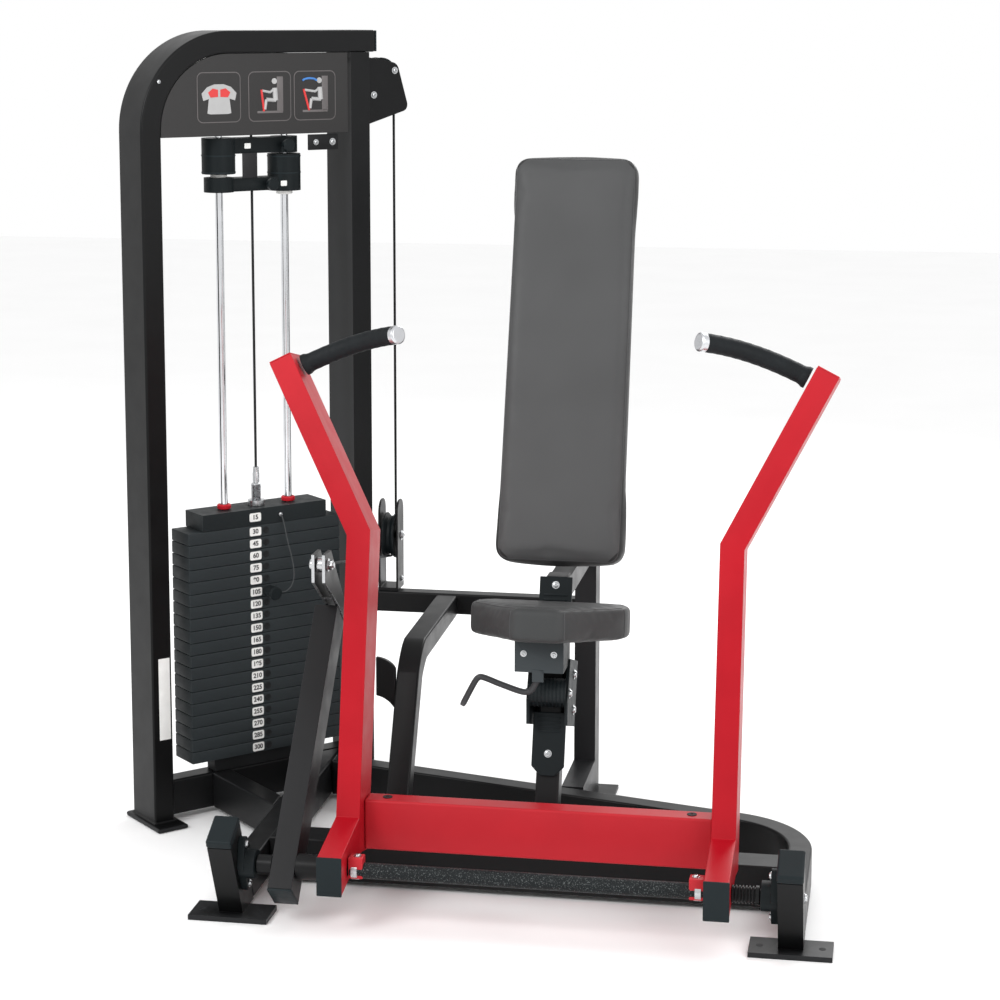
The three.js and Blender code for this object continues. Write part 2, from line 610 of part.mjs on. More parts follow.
// Leaning leg from the cross tube, bent near its top to meet the rear beam.
function buildCurvedBrace() {
  const x = -301;
  const half = TUBE / 2;
  const legTop = [500, 392];
  const legFoot = [319, 26];
  const lean = Math.atan2(legTop[0] - legFoot[0], legTop[1] - legFoot[1]);
  const reach = [REAR_BEAM.y0 - GAP, 448];
  const rise = Math.atan2(reach[1] - 436, reach[0] - 560);
  const legOff = [half * Math.cos(lean), half * Math.sin(lean)];
  const topOff = [half * Math.sin(rise), half * Math.cos(rise)];
  const outline = new THREE.Shape();
  outline.moveTo(legFoot[0] - legOff[0] + 3, 32);
  outline.lineTo(legTop[0] - legOff[0], legTop[1] + legOff[1]);
  outline.quadraticCurveTo(517, 452, 560 - topOff[0], 436 + topOff[1]);
  outline.lineTo(reach[0], reach[1] + half - 4);
  outline.lineTo(reach[0], reach[1] - half - 4);
  outline.lineTo(575 + topOff[0], 436 - topOff[1]);
  outline.quadraticCurveTo(556, 408, legTop[0] + legOff[0], legTop[1] - legOff[1]);
  outline.lineTo(legFoot[0] + legOff[0] + 3, 32);
  outline.closePath();
  add(machine, 'curved_brace', alongX(outline, x - half, x + half), BLACK_PAINT);

  // Plate bracket on the leg's outer side, behind the left arm.
  const bracket = new THREE.Shape();
  const edge = x - half - GAP;
  bracket.moveTo(edge, 318);
  bracket.lineTo(edge, 412);
  bracket.quadraticCurveTo(edge - 12, 434, edge - 44, 437);
  bracket.lineTo(edge - 44, 350);
  bracket.quadraticCurveTo(edge - 16, 346, edge, 318);
  bracket.closePath();
  add(machine, 'brace_bracket', alongY(bracket, 466, 478), BLACK_PAINT);
}

function buildBackPad() {
  const back = new THREE.Group();
  back.position.set(CENTRE_X, BACK.y, BACK.z);
  back.rotation.x = -BACK.lean;
  machine.add(back);
  const half = BACK.width / 2;
  const r = 34;
  const outline = new THREE.Shape();
  outline.absarc(half - r, r, r, -Math.PI / 2, 0, false);
  outline.absarc(half - r - 4, BACK.length - r, r, 0, Math.PI / 2, false);
  outline.absarc(-half + r + 4, BACK.length - r, r, Math.PI / 2, Math.PI, false);
  outline.absarc(-half + r, r, r, Math.PI, 1.5 * Math.PI, false);
  outline.closePath();
  add(back, 'back_pad', alongY(outline, 0, BACK.thick), VINYL_GREY);

  // Backing plate on the pad's rear face, with two struts to the upright.
  const slope = Math.tan(BACK.lean);
  const plateY = (z) => BACK.y + (z - BACK.z) * slope + (BACK.thick + GAP) / Math.cos(BACK.lean);
  const [low, high] = [760, 1440];
  const plate = alongX([[plateY(low), low], [plateY(low) + 12, low], [plateY(high) + 12, high],
    [plateY(high), high]], CENTRE_X - 60, CENTRE_X + 60);
  const strut = (z0, z1) => alongX([[plateY(z0) + 6, z0], [UPRIGHT.y0 - GAP, z0], [UPRIGHT.y0 - GAP, z1],
    [plateY(z1) + 6, z1]], CENTRE_X - 25, CENTRE_X + 25);
  add(machine, 'back_pad_bracket', join(plate, strut(880, 930), strut(1330, 1380)), BLACK_PAINT);
}

// ---------------------------------------------------------------- seat
// The rail group's origin is on the rail's front face; its z axis runs up the rail.
function buildSeat() {
  const rail = new THREE.Group();
  rail.position.set(CENTRE_X, RAIL.y, RAIL.z);
  rail.rotation.x = -SEAT_LEAN;
  machine.add(rail);
  const half = RAIL.tube / 2;
  const level = (z) => (z - RAIL.z) / Math.cos(SEAT_LEAN);

  const railY = (z) => RAIL.y + (z - RAIL.z) * Math.tan(SEAT_LEAN);
  const deep = RAIL.tube / Math.cos(SEAT_LEAN);
  add(machine, 'seat_rail', alongX([[railY(RAIL.low), RAIL.low], [railY(RAIL.low) + deep, RAIL.low],
    [railY(RAIL.high) + deep, RAIL.high], [railY(RAIL.high), RAIL.high]],
  CENTRE_X - half, CENTRE_X + half), BLACK_PAINT);

  const coverHalf = 35;
  const cover = (z0, z1, chamfer) => [[-coverHalf + chamfer, z0], [coverHalf - chamfer, z0],
    [coverHalf, z0 + chamfer], [coverHalf, z1], [-coverHalf, z1], [-coverHalf, z0 + chamfer]];
  add(rail, 'rail_cover_lower', alongY(cover(level(242), level(370), 20), -8.3, -GAP), PLASTIC);
  add(rail, 'rail_cover_upper', alongY(cover(level(560), level(RAIL.high), 2), -8.3, -GAP), PLASTIC);

  // Carriage: two side plates round the rail, a front roller housing and a box under the pad.
  const side = new THREE.Shape();
  side.moveTo(-46, 60);
  side.lineTo(62, 60);
  side.lineTo(72, 200);
  side.lineTo(-46, 200);
  side.lineTo(-62, 110);
  side.closePath();
  const inner = half + 12;
  const outer = inner + 7;
  const plates = [alongX(side, -outer, -inner), alongX(side, inner, outer)];
  const roller = rodX(30, -inner - 2, inner + 2, -40, 128, 24);
  const back = box(-inner - 2, inner + 2, RAIL.tube + 1.5, RAIL.tube + 9, 80, 190);
  rail.updateMatrix();
  const clamp = join(...plates, roller, back).applyMatrix4(rail.matrix);
  const underPad = (y) => SEAT.frontZ - (y - SEAT.front) * Math.tan(SEAT.tilt) - 1;
  const head = alongX([[250, 480], [345, 480], [345, underPad(345)], [250, underPad(250)]],
    CENTRE_X - 63, CENTRE_X + 40);
  const ear = box(12, 36, 249, 255, 460, 486);
  add(machine, 'seat_carriage', join(clamp, head, ear), DARK_PLATE);

  buildSeatPad();
  buildSeatHandle();
}

function buildSeatPad() {
  const seat = new THREE.Group();
  seat.position.set(CENTRE_X, SEAT.front, SEAT.frontZ);
  seat.rotation.x = -SEAT.tilt;
  machine.add(seat);
  const { noseHalf, half } = SEAT;
  const outline = new THREE.Shape();
  outline.moveTo(-noseHalf + 14, 0);
  outline.lineTo(noseHalf - 14, 0);
  outline.quadraticCurveTo(noseHalf, 0, noseHalf + 10, 13);
  outline.lineTo(half - 12, SEAT.shoulder - 16);
  outline.quadraticCurveTo(half, SEAT.shoulder, half, SEAT.shoulder + 18);
  outline.lineTo(half, SEAT.deep - 30);
  outline.quadraticCurveTo(half, SEAT.deep, half - 30, SEAT.deep);
  outline.lineTo(-half + 30, SEAT.deep);
  outline.quadraticCurveTo(-half, SEAT.deep, -half, SEAT.deep - 30);
  outline.lineTo(-half, SEAT.shoulder + 18);
  outline.quadraticCurveTo(-half, SEAT.shoulder, -half + 12, SEAT.shoulder - 16);
  outline.lineTo(-noseHalf - 10, 13);
  outline.quadraticCurveTo(-noseHalf, 0, -noseHalf + 14, 0);
  add(seat, 'seat_pad', alongZ(outline, 0, SEAT.thick), VINYL_DARK);
}

// Bent steel rod that frees the seat when its left end is lifted.
function buildSeatHandle() {
  const y = 262;
  const path = smoothPath([
    [24, y, 474], [22, y, 462], [10, y, 440], [0, y, 434], [-18, y, 436], [-58, y, 449],
    [-92, y, 461], [-104, y, 460], [-114, y, 446], [-138, y, 399],
  ]);
  add(machine, 'seat_handle', tubeAlong(path, 6.5, 10, 40), STEEL);
}

// ---------------------------------------------------------------- press arms
function armOutline(sign) {
  const s = (z) => (z - PIVOT.z) / Math.cos(ARM.lean);
  const half = ARM.width / 2;
  const base = ARM.halfSpan;
  const bend = s(ARM.bendZ);
  const top = s(ARM.topZ);
  const dx = Math.sin(ARM.splay);
  const dz = Math.cos(ARM.splay);
  const length = (top - bend) / dz;
  const miter = half * Math.tan(ARM.splay / 2);
  const tip = [base + length * dx, bend + length * dz];
  return [
    [base - half, 0], [base + half, 0], [base + half, bend - miter],
    [tip[0] + half * dz, tip[1] - half * dx], [tip[0] - half * dz, tip[1] + half * dx],
    [base - half, bend + miter],
  ].map(([x, z]) => [CENTRE_X + sign * x, z]);
}

function buildArm(side, sign) {
  const x = CENTRE_X + sign * ARM.halfSpan;
  const half = ARM.width / 2;
  const frontY = ARM.kneeY - (ARM.kneeZ - PIVOT.z) * Math.tan(ARM.lean);
  const outline = armOutline(sign);
  const upright = alongY(sign > 0 ? outline : outline.reverse(), 0, ARM.depth)
    .rotateX(-ARM.lean).translate(0, frontY, PIVOT.z);
  const rise = (ARM.kneeZ - ARM.noseHigh) / (ARM.kneeY - ARM.noseY);
  const tail = 196;
  const under = ARM.noseLow + (tail - ARM.noseY) * rise;
  const lower = alongX([[ARM.noseY, ARM.noseLow], [tail, under], [tail, under + 60],
    [ARM.kneeY, ARM.kneeZ], [ARM.noseY, ARM.noseHigh]], x - half, x + half);
  add(machine, `${side}_arm`, cut(join(upright, lower),
    rodX(PIVOT.r + GAP, x - 60, x + 60, PIVOT.y, PIVOT.z)), RED_PAINT);

  const at = (halfSpan, y, z) => new THREE.Vector3(CENTRE_X + sign * halfSpan, y, z);
  const grip = new THREE.QuadraticBezierCurve3(at(529, 338, 1102), at(415, 346, 1158), at(322, 279, 1178));
  add(machine, `${side}_grip`, tubeAlong(grip, 19.5, 16, 14), RUBBER);
  const out = grip.getTangent(1);
  const tip = grip.getPoint(1);
  const end = turned([[0, 0], [20, 0], [20, 12], [16, 15], [0, 15]], 20);
  const turn = new THREE.Quaternion().setFromUnitVectors(new THREE.Vector3(0, 1, 0), out);
  end.applyQuaternion(turn).translate(...tip.clone().addScaledVector(out, GAP).toArray());
  add(machine, `${side}_grip_end`, end, ALUMINIUM);
}

function buildArms() {
  buildArm('left', -1);
  buildArm('right', 1);
  const inner = ARM.halfSpan - ARM.width / 2 - GAP;
  const beam = box(CENTRE_X - inner, CENTRE_X + inner, 146, 196, 112, 219);
  add(machine, 'cross_beam', beam, RED_PAINT);
}

// Shaft along X with the sleeves that space the lever and the arms.
function buildShaft() {
  const { r } = PIVOT;
  const arm = (sign, side) => CENTRE_X + sign * ARM.halfSpan + (side * (ARM.width + 2)) / 2;
  const lever = { from: LEVER.x - TUBE / 2 - 1, to: LEVER.x + TUBE / 2 + 1 };
  const ends = { left: FOOT_X.left + TUBE / 2 + 1, right: FOOT_X.right - TUBE / 2 - 1 };
  const sleeve = 26;
  const bearing = 36;
  const profile = [[0, ends.left], [r, ends.left], [r, ends.left + bearing], [20, ends.left + bearing],
    [20, lever.from], [r, lever.from], [r, lever.to], [sleeve, lever.to], [sleeve, arm(-1, -1)],
    [r, arm(-1, -1)], [r, arm(1, 1)]];
  const ribs = 7;
  const ribFrom = arm(1, 1);
  const ribPitch = (ends.right - bearing - 8 - ribFrom) / ribs;
  for (let i = 0; i < ribs; i += 1) {
    const x = ribFrom + i * ribPitch;
    profile.push([18, x], [18, x + ribPitch * 0.55], [15, x + ribPitch * 0.6], [15, x + ribPitch]);
  }
  const collar = ends.right - bearing;
  profile.push([19, collar - 8], [19, collar], [r, collar], [r, ends.right], [0, ends.right]);
  add(machine, 'pivot_shaft', turned(profile.map(([radius, x]) => [radius, x]))
    .rotateZ(-Math.PI / 2).translate(0, PIVOT.y, PIVOT.z), STEEL);

  const from = arm(-1, 1) + 4;
  const to = arm(1, -1) - 4;
  add(machine, 'textured_bar', cut(rodX(16.5, from, to, PIVOT.y, PIVOT.z),
    rodX(r + GAP, from - 5, to + 5, PIVOT.y, PIVOT.z)), RUBBER);
}

// ---------------------------------------------------------------- lever and its cable
function buildLever() {
  const [fy, fz] = LEVER.foot;
  const [ty, tz] = LEVER.top;
  const length = Math.hypot(ty - fy, tz - fz);
  const along = [(ty - fy) / length, (tz - fz) / length];
  const across = [along[1] * LEVER.depth, -along[0] * LEVER.depth];
  const x0 = LEVER.x - TUBE / 2;
  const x1 = LEVER.x + TUBE / 2;
  const outline = [[fy, fz], [fy + across[0], fz + across[1]], [ty + across[0], tz + across[1]], [ty, tz]];
  const body = alongX(outline, x0, x1);
  add(machine, 'lever', cut(body, rodX(PIVOT.r + GAP, x0 - 5, x1 + 5, PIVOT.y, PIVOT.z)), GREY_PAINT);

  const run = leverRun();
  const half = CLEVIS.width / 2;
  const lift = [along[0] * GAP, along[1] * GAP];
  const ears = alongX([[ty + lift[0], tz + lift[1]], [ty + across[0] + lift[0], tz + across[1] + lift[1]],
    [430, 566], [304, 712], [250, 712], [250, 652]], run.x - half, run.x + half);
  // The slot runs right through at the back, so the cable stays clear as the lever swings forward.
  const slot = alongX([[200, 600], [340, 600], [340, 480], [450, 480], [450, 800], [200, 800]],
    run.x - CLEVIS.slot / 2, run.x + CLEVIS.slot / 2);
  const bolt = rodX(6, run.x - half - 6, run.x + half + 6, ...CLEVIS.bolt, 12);
  add(machine, 'lever_clevis', join(cut(ears, slot), bolt), STEEL);

  // Eye on the bolt, with a tail that points down the cable.
  const eye = new THREE.Group();
  eye.position.set(run.x, ...CLEVIS.bolt);
  const dy = run.y - CLEVIS.bolt[0];
  const dz = run.z - CLEVIS.bolt[1];
  eye.rotation.x = Math.atan2(dz, dy);
  machine.add(eye);
  const tail = 62;
  add(eye, 'cable_eye', cut(join(rodX(16, -6, 6, 0, 0), rodY(6, 10, tail, 0, 0, 12)),
    rodX(6.6, -10, 10, 0, 0)), STEEL);
  const span = Math.hypot(dy, dz);
  add(eye, 'lever_cable', rodY(CABLE.r, tail + GAP, span - GAP, 0, 0, 8), RUBBER);
}

// ---------------------------------------------------------------- assembly
tower.updateMatrixWorld(true);
buildTowerFrame();
buildPlacard();
buildStack();
buildAddons();
buildUpperPulleys();
buildLowerPulley();
buildFixedCable();
for (const side of ['left', 'right']) {
  buildPost(side);
  buildBearing(side);
}
buildRearFrame(buildBaseTubes());
buildSeat();
buildArms();
buildShaft();
buildLever();

// The part's own origin is on the floor, under the middle of its box.
machine.updateMatrixWorld(true);
const bounds = new THREE.Box3().setFromObject(machine, true);
const middle = bounds.getCenter(new THREE.Vector3());
const part = new THREE.Group();
machine.position.set(-middle.x, -middle.y, -bounds.min.z);
part.add(machine);

export default part;
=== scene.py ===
"""Looks of a selectorised chest press machine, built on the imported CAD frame."""
import json
import math

import bmesh
import bpy
from mathutils import Matrix, Vector
from mathutils.bvhtree import BVHTree


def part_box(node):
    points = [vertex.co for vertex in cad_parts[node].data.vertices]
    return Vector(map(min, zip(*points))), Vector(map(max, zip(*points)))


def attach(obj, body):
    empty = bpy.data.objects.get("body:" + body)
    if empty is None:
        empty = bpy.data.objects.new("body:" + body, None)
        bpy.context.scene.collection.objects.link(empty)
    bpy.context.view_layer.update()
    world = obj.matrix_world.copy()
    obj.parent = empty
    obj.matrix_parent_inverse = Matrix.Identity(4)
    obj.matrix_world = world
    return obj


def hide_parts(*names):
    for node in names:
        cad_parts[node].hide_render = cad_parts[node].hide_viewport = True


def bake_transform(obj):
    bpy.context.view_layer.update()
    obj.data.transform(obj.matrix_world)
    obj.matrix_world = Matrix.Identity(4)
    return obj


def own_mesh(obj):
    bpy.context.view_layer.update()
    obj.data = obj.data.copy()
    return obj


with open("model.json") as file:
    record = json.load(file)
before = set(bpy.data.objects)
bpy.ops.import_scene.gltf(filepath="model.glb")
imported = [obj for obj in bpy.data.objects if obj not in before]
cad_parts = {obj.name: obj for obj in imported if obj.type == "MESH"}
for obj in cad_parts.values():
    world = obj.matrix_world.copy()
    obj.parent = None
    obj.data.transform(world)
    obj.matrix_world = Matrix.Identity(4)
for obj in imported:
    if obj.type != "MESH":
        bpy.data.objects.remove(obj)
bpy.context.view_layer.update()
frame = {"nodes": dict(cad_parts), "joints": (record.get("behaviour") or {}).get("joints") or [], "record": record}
NODES = frame["nodes"]
BODY_OF = {n: b for b, members in frame["record"]["behaviour"]["bodies"].items() for n in members}
SLOT_OF = {s["node"]: s["material_slot"] for s in frame["record"]["subparts"]}


# ---------------------------------------------------------------- places
def middle(node):
    low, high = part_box(node)
    return (low + high) / 2


# Design coordinates in millimetres: X from between the feet, Y from the arms' shaft, Z from the floor.
ORIGIN = Vector((middle("left_post").x + 0.575, middle("pivot_shaft").y, 0))


def place(x, y, z):
    return ORIGIN + Vector((x, y, z)) / 1000


# The tower's own coordinates: t along it, n through it away from the user's side, z up.
TURN = math.radians(45)
ALONG = Vector((math.cos(TURN), math.sin(TURN), 0))
THROUGH = Vector((-math.sin(TURN), math.cos(TURN), 0))
STACK_T, STACK_N = 303, 50
TOWER = middle("selector_rod")
TOWER.z = 0
TOWER -= (ALONG * STACK_T + THROUGH * STACK_N) / 1000


def tower(t, n, z):
    return TOWER + (ALONG * t + THROUGH * n) / 1000 + Vector((0, 0, z / 1000))


X, Y, Z = Vector((1, 0, 0)), Vector((0, 1, 0)), Vector((0, 0, 1))
UP = Z
CENTRE_X = 38
SEAT_LEAN = math.radians(17)
RAIL_UP = Vector((0, math.sin(SEAT_LEAN), math.cos(SEAT_LEAN)))
RAIL_OUT = Vector((0, -math.cos(SEAT_LEAN), math.sin(SEAT_LEAN)))
RAIL_BASE = (CENTRE_X, 313, 287)
BACK_LEAN = math.radians(16.6)
SEAT_TILT = math.radians(10)
ARM_LEAN = math.radians(11.5)


def on_rail(x, out, up):
    return place(*RAIL_BASE) + (X * x + RAIL_OUT * out + RAIL_UP * up) / 1000


# ---------------------------------------------------------------- materials
class Finish:
    """A procedural material: colour drift, uneven roughness and a fine bump, all from object coordinates."""

    def __init__(self, name, colour, roughness, metallic=0.0):
        self.material = bpy.data.materials.new(name)
        self.material.use_nodes = True
        self.tree = self.material.node_tree
        self.shader = self.tree.nodes["Principled BSDF"]
        self.shader.inputs["Base Color"].default_value = (*colour, 1)
        self.shader.inputs["Roughness"].default_value = roughness
        self.shader.inputs["Metallic"].default_value = metallic
        self.colour = (*colour, 1)
        self.roughness = roughness
        self.where = self.node("ShaderNodeTexCoord").outputs["Object"]
        self.normal = None

    def node(self, kind, **values):
        made = self.tree.nodes.new(kind)
        for key, value in values.items():
            setattr(made, key, value)
        return made

    def link(self, a, b):
        self.tree.links.new(a, b)

    def noise(self, scale, detail=3.0, stretch=None):
        made = self.node("ShaderNodeTexNoise")
        made.inputs["Scale"].default_value = scale
        made.inputs["Detail"].default_value = detail
        source = self.where
        if stretch:
            mapping = self.node("ShaderNodeMapping")
            mapping.inputs["Scale"].default_value = stretch
            self.link(source, mapping.inputs["Vector"])
            source = mapping.outputs["Vector"]
        self.link(source, made.inputs["Vector"])
        return made.outputs["Fac"]

    def cells(self, scale):
        made = self.node("ShaderNodeTexVoronoi", feature="DISTANCE_TO_EDGE")
        made.inputs["Scale"].default_value = scale
        self.link(self.where, made.inputs["Vector"])
        return made.outputs["Distance"]

    def span(self, source, low, high, from_low=0.3, from_high=0.7):
        made = self.node("ShaderNodeMapRange")
        made.inputs["From Min"].default_value = from_low
        made.inputs["From Max"].default_value = from_high
        made.inputs["To Min"].default_value = low
        made.inputs["To Max"].default_value = high
        self.link(source, made.inputs["Value"])
        return made.outputs["Result"]

    def mix(self, factor, first, second):
        made = self.node("ShaderNodeMix", data_type="RGBA")
        self.link(factor, made.inputs["Factor"])
        for socket, value in ((made.inputs["A"], first), (made.inputs["B"], second)):
            if isinstance(value, tuple):
                socket.default_value = value
            else:
                self.link(value, socket)
        return made.outputs["Result"]

    def drift(self, amount=0.15, scale=6.0):
        """Broad, faint variation of the colour and the roughness."""
        field = self.noise(scale)
        dark = tuple(c * (1 - amount) for c in self.colour[:3]) + (1,)
        light = tuple(min(1, c * (1 + amount)) for c in self.colour[:3]) + (1,)
        self.tint = self.mix(self.span(field, 0, 1), dark, light)
        self.link(self.tint, self.shader.inputs["Base Color"])
        rough = self.span(self.noise(scale * 4), self.roughness * 0.88, self.roughness * 1.12)
        self.link(rough, self.shader.inputs["Roughness"])
        return self

    def edge_highlight_and_wear(self, colour, strength=0.5):
        """Painted highlight along the edges, where they would catch more light, mixed with a little lost paint."""
        edge = self.node("ShaderNodeNewGeometry").outputs["Pointiness"]
        mask = self.span(edge, 0, strength, 0.52, 0.6)
        self.tint = self.mix(mask, self.tint, (*colour, 1))
        self.link(self.tint, self.shader.inputs["Base Color"])
        return self

    def speckle(self, colour, scale, share):
        mask = self.span(self.noise(scale, 2), 0, 1, share, share + 0.04)
        self.tint = self.mix(mask, self.tint, (*colour, 1))
        self.link(self.tint, self.shader.inputs["Base Color"])
        return self

    def bump(self, height, distance, strength=1.0):
        made = self.node("ShaderNodeBump")
        made.inputs["Strength"].default_value = strength
        made.inputs["Distance"].default_value = distance
        self.link(height, made.inputs["Height"])
        if self.normal:
            self.link(self.normal, made.inputs["Normal"])
        self.normal = made.outputs["Normal"]
        self.link(self.normal, self.shader.inputs["Normal"])
        return self

    def dull(self, level):
        self.shader.inputs["Specular IOR Level"].default_value = level
        return self

    def coat(self, weight, roughness):
        self.shader.inputs["Coat Weight"].default_value = weight
        self.shader.inputs["Coat Roughness"].default_value = roughness
        return self

    def sheen(self, weight):
        self.shader.inputs["Sheen Weight"].default_value = weight
        self.shader.inputs["Sheen Roughness"].default_value = 0.5
        return self


def powder(name, colour, roughness, edge, coat=0.1):
    """Powder coat: a faint orange-peel surface under a thin gloss."""
    # The edge colour is a painted highlight along the edges, with a little paint wear.
    f = Finish(name, colour, roughness).drift(0.1, 5).edge_highlight_and_wear(edge)
    return f.bump(f.noise(420, 2), 0.0002, 0.35).dull(0.14).coat(coat, 0.3).material


def moulded(name, colour, roughness=0.5):
    # The 2.2 times lighter edge colour is a painted highlight along the edges, with a little wear.
    f = Finish(name, colour, roughness).drift(0.12, 9).edge_highlight_and_wear(tuple(c * 2.2 for c in colour), 0.6)
    return f.bump(f.noise(1600, 2), 0.00015, 0.5).dull(0.14).material


def vinyl(name, colour):
    f = Finish(name, colour, 0.52).drift(0.07, 7)
    f.bump(f.span(f.cells(520), 0, 1, 0, 0.25), 0.00018, 0.45)
    return f.bump(f.noise(38, 3), 0.0006, 0.25).dull(0.3).sheen(0.03).material


def brushed(name, colour, roughness, stretch):
    f = Finish(name, colour, roughness, 1.0).drift(0.06, 20)
    return f.bump(f.noise(900, 3, stretch), 0.00006, 0.4).material


def wrinkled(name):
    f = Finish(name, (0.006, 0.008, 0.009), 0.6).drift(0.2, 30).speckle((0.09, 0.1, 0.1), 420, 0.6)
    return f.bump(f.noise(320, 3), 0.0012, 0.9).dull(0.2).material


def plate_coat():
    f = Finish("plate_coat", (0.004, 0.0062, 0.007), 0.5).drift(0.2, 12)
    # The lighter edge colour is a painted highlight along the plate edges, with a little wear.
    f.edge_highlight_and_wear((0.06, 0.07, 0.075), 0.7)
    return f.bump(f.noise(700, 3), 0.0002, 0.5).dull(0.12).material


def foam():
    f = Finish("grip_foam", (0.006, 0.008, 0.0095), 0.6).drift(0.2, 25)
    return f.bump(f.noise(1400, 3), 0.0004, 0.6).dull(0.2).material


def rubbery():
    f = Finish("rubber", (0.014, 0.015, 0.016), 0.6).drift(0.15, 14)
    return f.bump(f.noise(1100, 2), 0.0002, 0.5).dull(0.15).material


def printed(name, colour):
    f = Finish(name, colour, 0.42).drift(0.05, 30)
    return f.bump(f.noise(300, 2), 0.0001, 0.2).material


# The last colour of each powder coat is its painted edge highlight, with a little paint wear.
BLACK = powder("black_powder_coat", (0.0035, 0.0036, 0.0038), 0.36, (0.03, 0.031, 0.033), 0.02)
RED = powder("red_powder_coat", (0.36, 0.004, 0.011), 0.38, (0.6, 0.06, 0.07), 0.03)
GREY = powder("grey_powder_coat", (0.008, 0.008, 0.0085), 0.4, (0.05, 0.05, 0.054), 0.02)
PLASTIC = moulded("moulded_plastic", (0.005, 0.0075, 0.0085))
CORD = moulded("cord_plastic", (0.045, 0.048, 0.05))
CAP = moulded("cap_plastic", (0.007, 0.0105, 0.012), 0.5)
PLATE = plate_coat()
RUBBER = rubbery()
FOAM = foam()
PAD_FACE = vinyl("vinyl_face", (0.055, 0.056, 0.057))
PAD_SIDE = vinyl("vinyl_side", (0.017, 0.0175, 0.018))
SEAT_TOP = vinyl("vinyl_seat", (0.032, 0.0335, 0.034))
THREAD = printed("stitching", (0.035, 0.035, 0.037))
CHROME = brushed("polished_chrome", (0.72, 0.73, 0.75), 0.09, (1, 1, 0.02))
STEEL = brushed("zinc_steel", (0.5, 0.51, 0.52), 0.28, (1, 1, 1))
# The last colour is a painted highlight along the handle's edges, with a little paint wear.
HANDLE = powder("handle_grey", (0.035, 0.036, 0.038), 0.35, (0.15, 0.15, 0.155), 0.1)
ALUMINIUM = brushed("turned_aluminium", (0.62, 0.63, 0.65), 0.3, (0.1, 1, 1))
WRINKLE = wrinkled("wrinkle_coat")
RED_PLASTIC = moulded("red_plastic", (0.4, 0.012, 0.02))
WHITE_PLASTIC = printed("white_plastic", (0.72, 0.72, 0.7))
LABEL = printed("label_white", (0.82, 0.82, 0.8))
INK = printed("label_ink", (0.02, 0.02, 0.022))
BOARD = printed("placard_face", (0.007, 0.006, 0.006))
TILE = printed("placard_tile", (0.006, 0.005, 0.005))
FIGURE = printed("placard_figure", (0.4, 0.4, 0.4))
EDGING = printed("placard_edging", (0.11, 0.1, 0.1))
ACCENT = printed("placard_red", (0.6, 0.03, 0.03))
BLUE = printed("placard_blue", (0.05, 0.2, 0.55))

BY_SLOT = {
    "frame_black": BLACK, "arm_red": RED, "lever_grey": GREY, "plate_dark": PLATE, "plastic_dark": PLASTIC,
    "rubber_black": RUBBER, "vinyl_grey": PAD_FACE, "vinyl_dark": PAD_SIDE, "rod_chrome": CHROME,
    "bright_steel": STEEL, "grip_aluminium": ALUMINIUM,
}


# ---------------------------------------------------------------- mesh helpers
def keep(name, mesh, material, body, smooth=35):
    """Puts a mesh in the scene as one piece that rides on a body."""
    piece = bpy.data.objects.new(name, mesh)
    bpy.context.scene.collection.objects.link(piece)
    if material:
        mesh.materials.clear()
        mesh.materials.append(material)
    mesh.shade_smooth()
    mesh.set_sharp_from_angle(angle=math.radians(smooth))
    if body:
        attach(piece, body)
    return piece


def soften(piece, width, segments=3):
    bevel = piece.modifiers.new("edges", "BEVEL")
    bevel.width = width
    bevel.segments = segments
    bevel.limit_method = "ANGLE"
    bevel.angle_limit = math.radians(28)
    bevel.harden_normals = True
    return piece


def clean_copy(node):
    """A node's mesh with its shared vertices merged and its flat faces made whole."""
    made = bmesh.new()
    made.from_mesh(NODES[node].data)
    bmesh.ops.remove_doubles(made, verts=made.verts, dist=0.00002)
    bmesh.ops.dissolve_limit(made, angle_limit=math.radians(1), verts=made.verts, edges=made.edges)
    return made


def to_mesh(made, name):
    mesh = bpy.data.meshes.new(name)
    made.to_mesh(mesh)
    made.free()
    return mesh


def refine(node, width, material=None):
    """The node's own shape with rolled edges, in place of the plain node."""
    slot = SLOT_OF[node]
    piece = keep(node + "_finished", to_mesh(clean_copy(node), node), material or BY_SLOT[slot],
                 BODY_OF[node])
    soften(piece, width / 1000)
    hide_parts(node)
    return piece


def facing(direction):
    """A turn that takes +Z to the direction."""
    return Vector(direction).normalized().to_track_quat("Z", "Y").to_matrix().to_4x4()


def turned(name, profile, at, direction, material, body, sides=40):
    made = bmesh.new()
    add_turned(made, profile, at, direction, sides)
    return keep(name, to_mesh(made, name), material, body)


def add_turned(made, profile, at, direction, sides=40):
    turn = Matrix.Translation(at) @ facing(direction)
    rings = []
    for radius, height in profile:
        count = 1 if radius == 0 else sides
        ring = []
        for i in range(count):
            a = 2 * math.pi * i / count
            local = Vector((math.cos(a) * radius, math.sin(a) * radius, height)) / 1000
            ring.append(made.verts.new(turn @ local))
        rings.append(ring)
    for low, high in zip(rings, rings[1:]):
        for i in range(sides):
            j = (i + 1) % sides
            corners = [low[i % len(low)], low[j % len(low)], high[j % len(high)], high[i % len(high)]]
            unique = list(dict.fromkeys(corners))
            if len(unique) > 2:
                made.faces.new(unique)


def add_block(made, centre, axes, size, round_by=0.0):
    """A box given by its centre, three unit axes and its size in millimetres, with rolled edges."""
    turn = Matrix.Identity(4)
    for i, axis in enumerate(axes):
        for j in range(3):
            turn[j][i] = axis[j] * size[i] / 1000
    turn.translation = centre
    box = bmesh.ops.create_cube(made, size=1, matrix=turn)
    if round_by:
        edges = {e for v in box["verts"] for e in v.link_edges}
        bmesh.ops.bevel(made, geom=list(edges), offset=round_by / 1000, segments=2, affect="EDGES",
                        profile=0.6)


